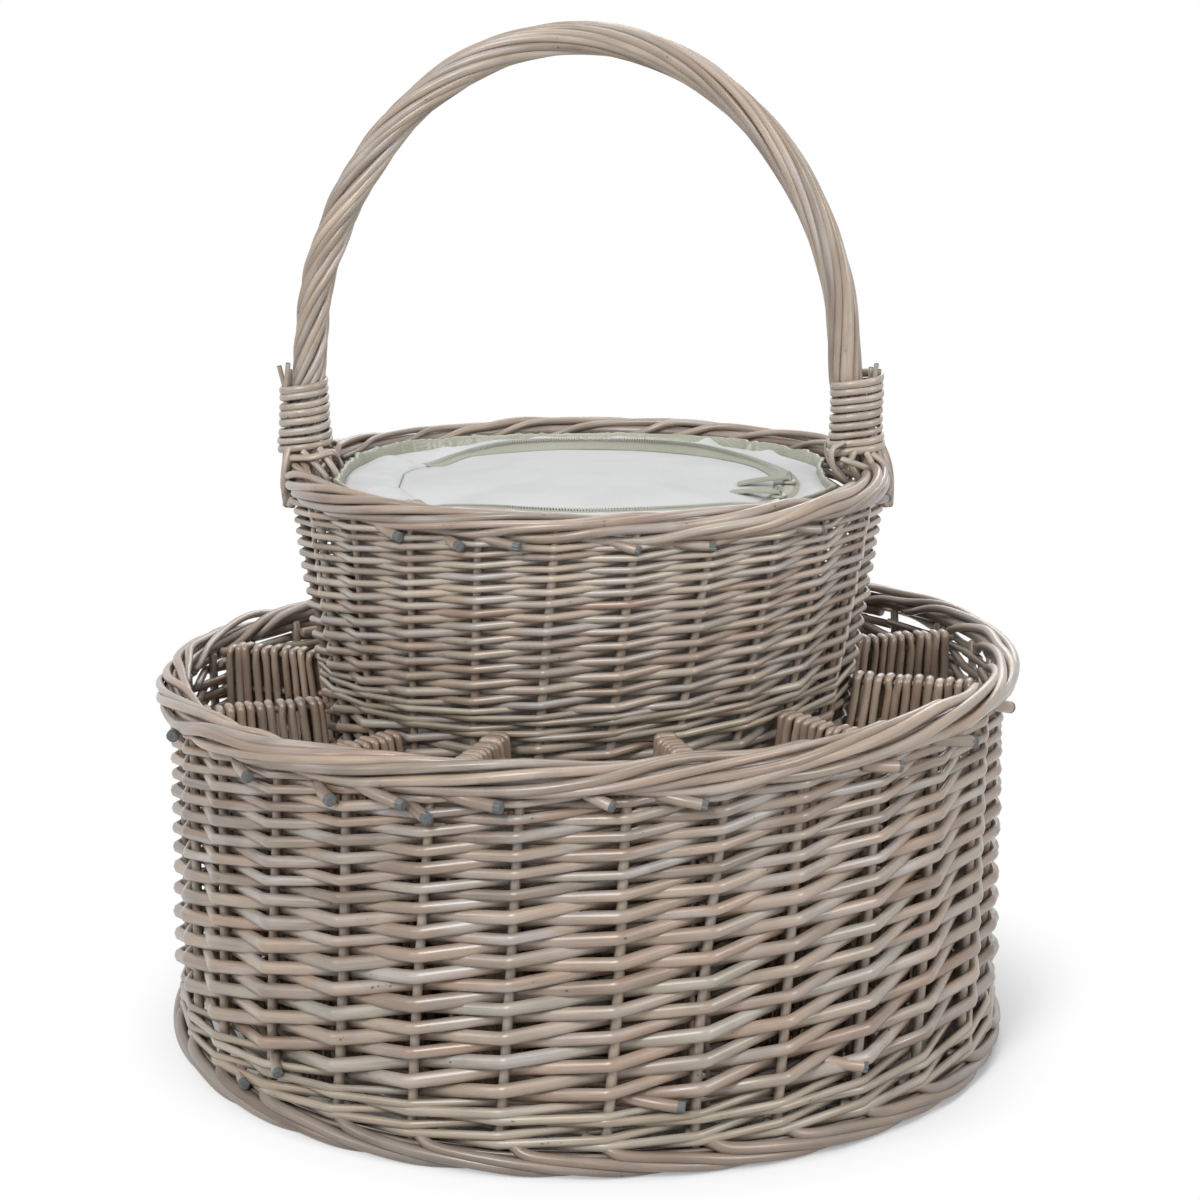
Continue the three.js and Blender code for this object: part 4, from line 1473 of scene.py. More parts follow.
LEFT_FOOT = Foot(
    name="left",
    side=-1,
    axis=-0.1882,
    bottom=0.3975,
    turns=8,
    wide=(0.0172, 0.0146),
    wraps=(
        (
            (-0.1980, -0.0140, 0.400), (-0.2005, -0.0170, 0.388), (-0.2016, -0.0165, 0.373),
            (-0.1985, -0.0130, 0.3685), (-0.190, -0.010, 0.366),
        ),
        (
            (-0.1965, -0.0160, 0.3935), (-0.182, -0.0205, 0.3945), (-0.1712, -0.0190, 0.3975),
            (-0.1672, -0.0150, 0.3965), (-0.1690, -0.0090, 0.3930),
        ),
        (
            (-0.1880, -0.0175, 0.398), (-0.1800, -0.0190, 0.390), (-0.1725, -0.0180, 0.380),
            (-0.1700, -0.0140, 0.370),
        ),
        (
            (-0.1770, -0.0175, 0.400), (-0.1700, -0.0185, 0.390), (-0.1650, -0.0160, 0.380),
            (-0.1640, -0.0120, 0.370),
        ),
    ),
    tails=(
        (0.0122, -0.008, 0.0125, -0.0030),
        (0.0118, -0.003, 0.010, 0.0040),
        (0.0100, 0.008, 0.006, 0.0),
    ),
)
RIGHT_FOOT = Foot(
    name="right",
    side=1,
    axis=0.1788,
    bottom=0.3950,
    turns=9,
    wide=(0.0179, 0.0163),
    wraps=(
        (
            (0.1690, -0.0170, 0.404), (0.1622, -0.0190, 0.400), (0.1612, -0.0200, 0.393),
            (0.1640, -0.0195, 0.3845), (0.1700, -0.0165, 0.378), (0.176, -0.010, 0.372),
        ),
        (
            (0.1680, -0.0190, 0.3930), (0.1760, -0.0210, 0.3905), (0.1850, -0.0205, 0.3870),
            (0.1905, -0.0175, 0.3820),
        ),
        (
            (0.1760, -0.0190, 0.398), (0.1740, -0.0200, 0.390), (0.1790, -0.0195, 0.381),
            (0.186, -0.014, 0.372),
        ),
        (
            (0.1885, -0.0165, 0.396), (0.1950, -0.0160, 0.3906), (0.2000, -0.0150, 0.381),
            (0.2008, -0.0140, 0.3725), (0.1960, -0.0120, 0.366),
        ),
        (
            (0.1845, -0.0185, 0.397), (0.1890, -0.0185, 0.388), (0.1930, -0.0165, 0.378),
            (0.1920, -0.0130, 0.369),
        ),
    ),
    tails=(
        (0.0108, -0.008, 0.009, 0.001),
        (0.0132, -0.003, 0.0045, 0.001),
        (0.0096, 0.004, 0.005, 0.0),
        (0.0124, 0.005, 0.001, 0.0),
    ),
)


@dataclass
class Handle(Part):
    """The tall bow: twisted rods round a stick, lashed at both feet.

    A leg is given by points inside the inner wall, each by distance aside and height, and the foot by
    the points where the left and the right leg leave the rim. The arch stands on the bow's middle: it
    starts at the spring with its half width, and rises from there. The winding says how far a lashing
    climbs with each turn.
    """

    rods: int = 11
    rod: float = 0.0057
    bundle: float = 0.022
    leg: tuple[Pair, ...] = ((0.1789, 0.2797), (0.1855, 0.3247), (0.1915, 0.380))
    foot: tuple[Pair, ...] = ((-0.1880, 0.4115), (0.1795, 0.4115))
    middle: float = -0.0065
    spring: float = 0.443
    half_width: float = 0.1786
    rise: float = 0.2225
    samples: int = 520
    winding: float = 0.00565
    turn_steps: int = 28

    def __post_init__(self) -> None:
        """Works out the bow's line and its frames."""
        knots = [(-x, z) for x, z in self.leg] + [self.foot[0]]
        for step in range(11):
            swing = math.pi * (step / 10 - 0.5)
            aside = self.middle + self.half_width * math.sin(swing)
            knots.append((aside, self.spring + self.rise * math.cos(swing)))
        knots += [self.foot[1], *reversed(self.leg)]
        line = curved(knots, 160)
        length = np.concatenate([[0], np.cumsum(np.linalg.norm(np.diff(line, axis=0), axis=1))])
        self.length = float(length[-1])
        self.along = np.linspace(0, self.length, self.samples)
        self.x, self.z = (np.interp(self.along, length, line[:, axis]) for axis in (0, 1))
        self.centre = np.stack([self.x, 0 * self.x, self.z], axis=1)
        tangent = unit(np.gradient(self.centre, axis=0))
        self.side = np.array([0.0, 1.0, 0.0])
        self.inward = unit(np.cross(self.side, tangent))

    def build(self) -> None:
        """Builds the stick, the twisted rods, the lashings and the cut tails."""
        work = Wickerwork(71, 8)
        work.add(self.centre[::9], 0.0048, self.inward[::9], tone=(0.4, 0.1))
        settle(work.build("handle_bow_stick", self.finishes.stake), "basket", "stick_wood", "handle_bow")
        self._twist()
        for foot in (LEFT_FOOT, RIGHT_FOOT):
            self._lashing(foot)
            self._tails(foot)

    def _twist(self) -> None:
        """Lays the rods of the bundle round the stick."""
        work = Wickerwork(72, 14)
        rng = work.rng
        keep = self.z > 0.360
        share = self.along / self.length
        pitch = np.interp(share, [0.0, 0.16, 0.3, 0.5, 0.8, 1.0], [0.16, 0.12, 0.2, 0.42, 0.42, 0.5])
        turn = np.concatenate([[0], np.cumsum(math.tau / pitch[1:] * np.diff(self.along))])
        foot = np.clip((0.433 - self.z) / 0.05, 0, 1.5)
        swell = 1 + 0.22 * foot**2
        rods = []
        radii = []
        for rod in range(self.rods):
            half = self.rod / 2 * rng.uniform(0.86, 1.14)
            slow = np.interp(share, np.linspace(0, 1, 14), rng.normal(0, 0.10, 14))
            angle = turn + rod * math.tau / self.rods + slow
            lift = np.interp(share, np.linspace(0, 1, 18), rng.normal(0, 0.00045, 18))
            away = (self.bundle / 2 - half) * swell + lift
            path = self.centre + away[:, None] * (
                np.cos(angle)[:, None] * self.inward + np.sin(angle)[:, None] * self.side
            )
            rods.append(path[keep])
            radii.append(half * (1 + 0.05 * np.sin(share * 37 + rod))[keep])
        paths = np.stack(rods)
        work.add(paths, np.stack(radii), unit(paths - self.centre[keep]), tone=(0.5, 0.25))
        # The core under the rods is given the deepest tone, painted shade where it shows between them.
        core = self.centre[keep][::6]
        work.add(core, self.bundle / 2 - 0.0040, self.inward[keep][::6], tone=(0.1, 0.05))
        piece = work.build("handle_twisted_rods", self.finishes.handle)
        settle(piece, "basket", "handle_willow", "handle_rods")

    def _lashing(self, foot: Foot) -> None:
        """Winds one foot of the bow, and lays the wraps that cross the rim below.

        Args:
            foot: Which foot.
        """
        work = Wickerwork(73 + foot.side, 8)
        rng = work.rng
        step = np.arange(foot.turns * self.turn_steps + 1)
        turn = step / self.turn_steps * math.tau + math.pi / 2
        marks = np.arange(0, step[-1] + 14, 14)
        height = foot.bottom + step / self.turn_steps * self.winding
        height = height + np.interp(step, marks, rng.normal(0, 0.0005, len(marks)))
        height = height + 0.0016 * np.cos(turn)
        share = np.linspace(0, 1, len(step))
        low, high = foot.wide
        wide = np.interp(share, [0, 0.12, 0.3, 1], [low, low, low * 0.93, high])
        wide = wide + np.interp(step, marks, rng.normal(0, 0.0004, len(marks)))
        deep = np.interp(share, [0, 1], [0.0160, 0.0142])
        cosine = np.sign(np.cos(turn)) * np.abs(np.cos(turn)) ** 0.8
        sine = np.sign(np.sin(turn)) * np.abs(np.sin(turn)) ** 0.8
        path = np.stack([foot.axis + wide * cosine, deep * sine, height], axis=1)
        out = unit(np.stack([cosine / wide, sine / deep, 0 * height], axis=1))
        half = 0.00245 + np.interp(step, marks, rng.normal(0, 0.00022, len(marks)))
        work.add(path, half, out, flat=0.55, tone=(0.6, 0.1), hue=(0.4, 0.2))
        centre = np.array([foot.side * 0.187, 0.0, 0.380])
        for knots in foot.wraps:
            for mirror in (1, -1):
                line = curved(np.array(knots) * [1, mirror, 1], 6)
                half = 0.0024 * rng.uniform(0.9, 1.1)
                work.add(line, half, unit(line - centre), flat=0.55, tone=(0.5, 0.2))
        name = f"handle_lashing_{foot.name}"
        settle(work.build(name + "_rod", self.finishes.lashing), "basket", "lashing_willow", name)

    def _tails(self, foot: Foot) -> None:
        """Leaves the cut tails that stand out of the top of a lashing.

        Args:
            foot: Which foot.
        """
        work = Wickerwork(76 + foot.side, 8)
        top = foot.bottom + foot.turns * self.winding
        outs = np.array([foot.side * 1.0, -0.6, 0.0])
        ends = (End.HIDDEN, End.CUT)
        for aside, ahead, reach, splay in foot.tails:
            knots = [
                (foot.axis + foot.side * aside * 0.8, ahead, foot.bottom + 0.02),
                (foot.axis + foot.side * aside * 0.95, ahead, top - 0.01),
                (foot.axis + foot.side * (aside + splay), ahead * 1.1, top + reach),
            ]
            work.add(curved(knots, 4), 0.0022, outs, flat=0.7, ends=ends, tone=(0.3, 0.2), stained=2)
        piece = work.build(f"handle_tails_{foot.name}", self.finishes.handle, self.finishes.cut)
        settle(piece, "basket", "handle_willow", "handle_rods")


# The cooler


def deselect() -> None:
    """Clears the selection, the frame's nodes among it."""
    bpy.ops.object.select_all(action="DESELECT")


def choose(piece: Piece, wanted: Callable[[Vector, Vector], bool]) -> None:
    """Selects the faces of a mesh that pass a test, in edit mode.

    Args:
        piece: The mesh object being edited.
        wanted: Takes a face's centre and normal, and says whether it is wanted.
    """
    mesh = bmesh.from_edit_mesh(piece.data)
    bpy.context.tool_settings.mesh_select_mode = (False, False, True)
    for face in mesh.faces:
        face.select_set(False)
    for face in mesh.faces:
        if wanted(face.calc_center_median(), face.normal):
            face.select_set(True)
    mesh.select_flush_mode()
    bmesh.update_edit_mesh(piece.data)


def only(piece: Piece) -> None:
    """Selects one object and makes it the active one.

    Args:
        piece: The object.
    """
    deselect()
    piece.select_set(True)
    bpy.context.view_layer.objects.active = piece


def modify(piece: Piece, kind: str, **settings: object) -> None:
    """Adds a modifier to a piece and applies it.

    Args:
        piece: The object.
        kind: The modifier's type.
        settings: The modifier's settings.
    """
    only(piece)
    modifier = piece.modifiers.new(kind.lower(), kind)
    for key, value in settings.items():
        setattr(modifier, key, value)
    bpy.ops.object.modifier_apply(modifier=modifier.name)


def seat(piece: Piece) -> None:
    """Puts an object's place, turn and size into its mesh."""
    only(piece)
    bpy.ops.object.transform_apply(location=True, rotation=True, scale=True)


def solid(name: str, points: Array, faces: list[tuple[int, ...]], finish: Material) -> Piece:
    """A closed solid with its faces turned outwards and shaded smooth.

    Args:
        name: The piece's name.
        points: Its points, with x, y and z along the last axis.
        faces: The numbers of each face's points.
        finish: The material.

    Returns:
        The new object.
    """
    mesh = bpy.data.meshes.new(name)
    mesh.from_pydata([tuple(point) for point in points.reshape(-1, 3)], [], faces)
    work = bmesh.new()
    work.from_mesh(mesh)
    bmesh.ops.recalc_face_normals(work, faces=work.faces)
    work.to_mesh(mesh)
    work.free()
    mesh.polygons.foreach_set("use_smooth", np.ones(len(mesh.polygons), bool))
    mesh.materials.append(finish)
    piece = bpy.data.objects.new(name, mesh)
    bpy.context.scene.collection.objects.link(piece)
    return piece


def strip(name: str, sections: Array, closed: bool, finish: Material) -> Piece:
    """A closed solid skinned over a row of cross-sections, for cloth that runs round the top.

    Args:
        name: The piece's name.
        sections: Sections by points by three.
        closed: Whether the row of sections meets itself.
        finish: The material.

    Returns:
        The new object.
    """
    count, sides = sections.shape[:2]
    faces = []
    for i in range(count if closed else count - 1):
        for j in range(sides):
            k, n = (j + 1) % sides, (i + 1) % count
            faces.append((i * sides + j, n * sides + j, n * sides + k, i * sides + k))
    if not closed:
        faces.append(tuple(range(sides)))
        faces.append(tuple(reversed(range((count - 1) * sides, count * sides))))
    return solid(name, sections, faces, finish)


def polar(radius: Array | float, angle: Array | float, height: Array | float) -> Array:
    """Points round the axis by their angle from the +X side, as the zip's sweep is measured."""
    return around(radius, np.asarray(angle) + math.pi / 2, height)


@dataclass
class CoolerCup:
    """One layer of the cooler's side and bottom: cloth, foam or liner.

    The radii, the bottom and the top are those of the cooler's outer face, and the inset is how far
    inside it the layer lies. The fill says how full its padding is, from 0 to 1, and is not used.
    """

    name: str
    node: str
    slot: str
    finish: Material
    inset: float
    wall: float
    fill: float
    crease: float
    bottom_radius: float = 0.121
    top_radius: float = 0.1645
    bottom: float = 0.0263
    top: float = 0.3717
    bands: int = 24

    def build(self) -> None:
        """Raises the cup from a cone, creases it and gives it its thickness."""
        deselect()
        low = self.bottom + self.inset
        lean = (self.top_radius - self.bottom_radius) / (self.top - self.bottom)
        bpy.ops.mesh.primitive_cone_add(
            vertices=96,
            radius1=self.bottom_radius + lean * self.inset - self.inset,
            radius2=self.top_radius - self.inset,
            depth=self.top - low,
            end_fill_type="NGON",
            location=(0, 0, (self.top + low) / 2),
        )
        cup = bpy.context.object
        cup.name = self.name
        seat(cup)
        bpy.ops.object.mode_set(mode="EDIT")
        choose(cup, lambda centre, normal: normal.z > 0.9)
        bpy.ops.mesh.delete(type="FACE")
        choose(cup, lambda centre, normal: normal.z < -0.9)
        for thickness in (0.012, 0.03, 0.03):
            bpy.ops.mesh.inset(thickness=thickness, depth=0)
        for step in range(1, self.bands):
            bpy.ops.mesh.select_all(action="SELECT")
            height = low + (self.top - low) * step / self.bands
            bpy.ops.mesh.bisect(plane_co=(0, 0, height), plane_no=(0, 0, 1))
        bpy.ops.object.mode_set(mode="OBJECT")
        self._crease(cup, low)
        modify(cup, "SOLIDIFY", thickness=self.wall, offset=-1.0)
        bpy.ops.object.shade_smooth_by_angle(angle=math.radians(50))
        cup.data.materials.append(self.finish)
        settle(cup, "cooler", self.slot, self.node)

    def _crease(self, cup: Piece, low: float) -> None:
        """Lets the standing cloth buckle inwards in soft slanting creases, and less at its edges.

        Args:
            cup: The cup.
            low: The height of its bottom.
        """
        for vertex in cup.data.vertices:
            share = (vertex.co.z - low) / (self.top - low)
            angle = math.atan2(vertex.co.y, vertex.co.x)
            if share < 0.001:
                continue
            buckle = math.sin(5 * angle + 7 * share) * 0.5 + math.sin(11 * angle - 16 * share + 1.3) * 0.3
            buckle += math.sin(23 * angle + 31 * share) * 0.2
            inwards = self.crease * (buckle - 1.0) * math.sin(math.pi * min(1.0, share * 1.02)) ** 0.6
            inwards -= float(press(angle)) * min(1.0, max(0.0, (vertex.co.z - 0.30) / 0.05))
            radius = math.hypot(vertex.co.x, vertex.co.y)
            vertex.co.x *= (radius + inwards) / radius
            vertex.co.y *= (radius + inwards) / radius


def lift(angle: Array) -> Array:
    """How far the soft zip bows up behind and in front, and sags by the sliders.

    Args:
        angle: Angles from +X in radians.

    Returns:
        The lift at each angle.
    """
    degrees = np.degrees(np.asarray(angle))
    behind = np.interp(degrees, [18, 62, 112, 139], [0.0, 1.0, 1.0, 0.0])
    before = np.interp(-degrees, [26, 50, 112, 138], [0.0, 1.0, 1.0, 0.0])
    behind, before = (share * share * (3 - 2 * share) for share in (behind, before))
    sag = 0.0052 * np.exp(-(((degrees + 26) / 27) ** 2))
    ends = np.where(degrees > 0, 0.0035, 0.0048) * np.exp(-(((np.abs(degrees) - 144) / 9) ** 2))
    return 0.0052 * behind + 0.0036 * before - sag - ends


def press(angle: Array | float) -> Array:
    """How far the handle's feet push the soft edge of the bag in.

    Args:
        angle: Angles from +X in radians.

    Returns:
        The push at each angle.
    """
    degrees = np.abs(np.degrees(np.asarray(angle)))
    return 0.0086 * np.exp(-((degrees / 12.8) ** 4)) + 0.0020 * np.exp(-(((180 - degrees) / 11) ** 4))


@dataclass
class CoolerTop(Part):
    """The soft top: the shoulder round the zip, its gathered binding and both zip tapes.

    The zip runs round by the sweep at each side of +X. The tape lies outside the teeth and the lid's
    tape inside them, and the shoulder and the binding are given by how far out they reach.
    """

    level: float = 0.3762
    sweep: float = math.radians(150)
    tape: float = 0.0069
    lid_tape: float = 0.0098
    shoulder: float = 0.1648
    binding: float = 0.1652
    teeth: int = 380

    def build(self) -> None:
        """Builds the shoulder, the binding, the tapes and the teeth."""
        self._shoulder()
        self._binding()
        for name, body, node, side in (
            ("zip_tape_outer", "cooler", "zip_tape_outer", 1),
            ("zip_tape_lid", "lid", "zip_tape_lid", -1),
        ):
            self._tape(name + "_cloth", body, node, side)
            self._teeth(name + "_teeth", body, node, side)

    def _shoulder(self) -> None:
        """The ring of cloth between the zip and the binding, with the folds that gather it in."""
        rng = np.random.default_rng(81)
        angle = np.linspace(-math.pi, math.pi, 480, endpoint=False)
        hinge = np.minimum(0.12715, 0.12445 / np.maximum(1e-3, np.abs(np.cos(angle))))
        inner = np.where(np.abs(angle) > math.radians(149.6), hinge, 0.1408)
        share = np.linspace(0, 1, 12)[None, :]
        radius = inner[:, None] + (self.shoulder - press(angle)[:, None] - inner[:, None]) * share
        across = np.sin(math.pi * np.clip(share * 0.85 + 0.12, 0, 1))
        folds = np.zeros_like(radius)
        for _ in range(46):
            at = rng.uniform(-math.pi, math.pi)
            lean = rng.normal(0, 0.10)
            width = rng.uniform(0.018, 0.05)
            away = np.angle(np.exp(1j * (angle[:, None] - at - lean * share)))
            rise = rng.uniform(0.0008, 0.0036) * (0.25 + 0.75 * share**1.5)
            rise = rise * (1 + 0.9 * math.exp(-((at / 0.6) ** 2)))
            folds += rise * np.exp(-((away / width) ** 2)) * across
        crown = 0.0012 * np.sin(math.pi * share)
        pull = 0.004 * np.exp(-((np.abs(angle[:, None]) - 2.75) ** 2) / 0.01) * np.sin(math.pi * share)
        height = self.level + crown + folds + pull + 0.0004 + lift(angle)[:, None] * (1 - share) ** 1.5
        top = polar(radius, angle[:, None], height)
        under = polar(radius[:, ::-1], angle[:, None], 0.3722 + np.minimum(0.0, lift(angle))[:, None])
        piece = strip("cooler_shoulder", np.concatenate([top, under], axis=1), True, self.finishes.lid_cloth)
        modify(piece, "SUBSURF", levels=1, render_levels=1)
        settle(piece, "cooler", "grey_cloth", "cooler_top_panel")

    def _binding(self) -> None:
        """The satin binding, gathered into an upright ruffle that the handle's feet press flat."""
        rng = np.random.default_rng(82)
        angle = np.linspace(-math.pi, math.pi, 900, endpoint=False)
        gather = wave(angle, rng, 1.0, 6)
        for _ in range(170):
            at = rng.uniform(-math.pi, math.pi)
            away = np.angle(np.exp(1j * (angle - at)))
            gather += rng.normal(0, 1.2) * np.exp(-((away / rng.uniform(0.008, 0.02)) ** 2))
        gather = np.clip(gather / 1.8, -1, 1)[:, None]
        tilt = wave(angle, rng, 0.0012, 6)[:, None]
        share = np.linspace(0, 1, 9)[None, :]
        tall = 0.0185 + wave(angle, rng, 0.0012, 7)[:, None]
        height = 0.3640 + share * tall + gather * 0.0009 * share**3
        free = 1 - 0.92 * np.minimum(1, press(angle) / 0.002)[:, None]
        radius = 0.0040 * share**1.6 + (gather * 0.0017 + tilt) * share**0.8
        radius = self.binding - press(angle)[:, None] + radius * free
        thick = 0.0011 + 0.0007 * np.sin(math.pi * share)
        outer = polar(radius + thick, angle[:, None], height)
        inner = polar((radius - thick)[:, ::-1], angle[:, None], height[:, ::-1])
        sections = np.concatenate([outer, inner], axis=1)
        piece = strip("cooler_binding_ruffle", sections, True, self.finishes.satin)
        settle(piece, "cooler", "sage_binding", "cooler_binding")

    def _tape(self, name: str, body: str, node: str, side: int) -> None:
        """One zip tape.

        Args:
            name: The piece's name.
            body: The body that it is sewn to.
            node: The CAD node that it stands for.
            side: 1 for the tape outside the teeth and -1 for the one inside them.
        """
        rng = np.random.default_rng(84 + side)
        angle = np.linspace(-self.sweep, self.sweep, 300)
        share = np.array([0.0, 0.1, 0.3, 0.55, 0.8, 1.0])[None, :]
        width = self.tape if side > 0 else self.lid_tape
        radius = ZIP_RADIUS + side * (0.0002 + width * share)
        roll = 0.0004 * np.sin(share * math.pi) + wave(angle, rng, 0.00015, 7)[:, None]
        bow = lift(angle)[:, None]
        if side > 0:
            follow = bow * (1 - 0.12 * share)
        else:
            follow = np.maximum(bow, 0) * (1 - share) + np.minimum(bow, 0) + 0.0005 * share
        roll = roll + follow
        edge = -0.0003 * (share > 0.95)
        top = polar(radius, angle[:, None], self.level + 0.0002 + roll + edge)
        under = polar(radius[:, ::-1], angle[:, None], self.level - 0.0008 + roll[:, ::-1])
        tape = strip(name, np.concatenate([top, under], axis=1), False, self.finishes.webbing)
        settle(tape, body, "sage_webbing", node)

    def _teeth(self, name: str, body: str, node: str, side: int) -> None:
        """The teeth on one tape.

        Args:
            name: The piece's name.
            body: The body that they are sewn to.
            node: The CAD node that they stand for.
            side: 1 for the teeth of the tape outside and -1 for those of the tape inside.
        """
        work = Wickerwork(86 + side, 6)
        place = np.linspace(-self.sweep, self.sweep, self.teeth)[:, None]
        reach = np.array([0.0030, 0.0012, -0.0004, -0.0006])[None, :]
        rise = np.array([0.0006, 0.0015, 0.0013, 0.0005])[None, :]
        lean = np.array([0.0, 0.0, 0.0, 0.003])[None, :] + 0.0016 * (side > 0)
        paths = polar(ZIP_RADIUS + side * reach, place + lean, self.level + rise + lift(place))
        work.add(paths, 0.00046, UP, tone=(0.5, 0.0), hue=(0.5, 0.0))
        settle(work.build(name, self.finishes.teeth), body, "sage_webbing", node)


@dataclass(frozen=True)
class LidLayer:
    """One layer of the lid: its place in the record, and how far inside the lid's edge it stays.

    The bottom is the height of its underside and the top that of its edge. The crown says how far its
    middle swells.
    """

    name: str
    node: str
    slot: str
    inset: float
    bottom: float
    top: float
    crown: float = 0.0


@dataclass
class Lid(Part):
    """The padded lid panel with its foam and lining."""

    radius: float = 0.1270
    hinge: float = -0.1243
    points: int = 120
    panel: LidLayer = LidLayer("cooler_lid_panel", "cooler_lid", "lid_cloth", 0.0002, 0.3722, 0.3758, 0.0048)
    foam: LidLayer = LidLayer("lid_foam_pad", "lid_foam", "foam", 0.0042, 0.3638, 0.3716)
    lining: LidLayer = LidLayer("lid_lining_sheet", "lid_lining", "liner_foil", 0.0045, 0.3623, 0.3634)

    def build(self) -> None:
        """Builds the three layers."""
        self._layer(self.panel, self.finishes.lid_cloth)
        self._layer(self.foam, self.finishes.foam)
        self._layer(self.lining, self.finishes.liner)

    def _outline(self, inset: float) -> Array:
        """The lid's outline in plan: a circle cut straight along its hinge.

        Args:
            inset: How far inside the lid's own edge it lies.

        Returns:
            Points by two.
        """
        angle = np.linspace(-math.pi, math.pi, self.points, endpoint=False)
        x = np.maximum((self.radius - inset) * np.cos(angle), self.hinge + inset * 0.5)
        return np.stack([x, (self.radius - inset) * np.sin(angle)], axis=1)

    def _layer(self, layer: LidLayer, finish: Material) -> None:
        """One layer, as rings from its middle to its edge above, and back below.

        Args:
            layer: The layer's sizes.
            finish: The material.
        """
        rng = np.random.default_rng(91)
        outline = self._outline(layer.inset)
        droop = np.minimum(0.0, lift(np.linspace(-math.pi, math.pi, self.points, endpoint=False)))
        shares = np.concatenate([np.linspace(0.02, 0.9, 26), [0.94, 0.97, 0.99, 1.0]])
        phase = rng.uniform(0, math.tau, 6)
        rings = []
        for share in shares:
            x, y = (outline * share).T
            height = layer.top + layer.crown * (1 - share**2.4)
            if layer.crown:
                ripples = (np.sin((14 + 8 * k) * x * 3 + (9 - 5 * k) * y * 6 + phase[k]) for k in range(4))
                height = height + sum(0.00022 * ripple for ripple in ripples) * (1 - share**6)
            height = height - 0.0008 * max(0.0, share - 0.97) / 0.03 + droop * share**2
            rings.append(np.stack([x, y, height], axis=1))
        for share in shares[::-1][::3]:
            rings.append(np.column_stack([outline * share, layer.bottom + droop * share**2]))
        rows = np.stack(rings)
        count = len(rows)
        faces = []
        for i in range(count - 1):
            for j in range(self.points):
                k = (j + 1) % self.points
                near, far = i * self.points, (i + 1) * self.points
                faces.append((near + j, near + k, far + k, far + j))
        faces.append(tuple(range(self.points)))
        faces.append(tuple(range((count - 1) * self.points, count * self.points)))
        piece = solid(layer.name, rows, faces, finish)
        settle(piece, "lid", layer.slot, layer.node)


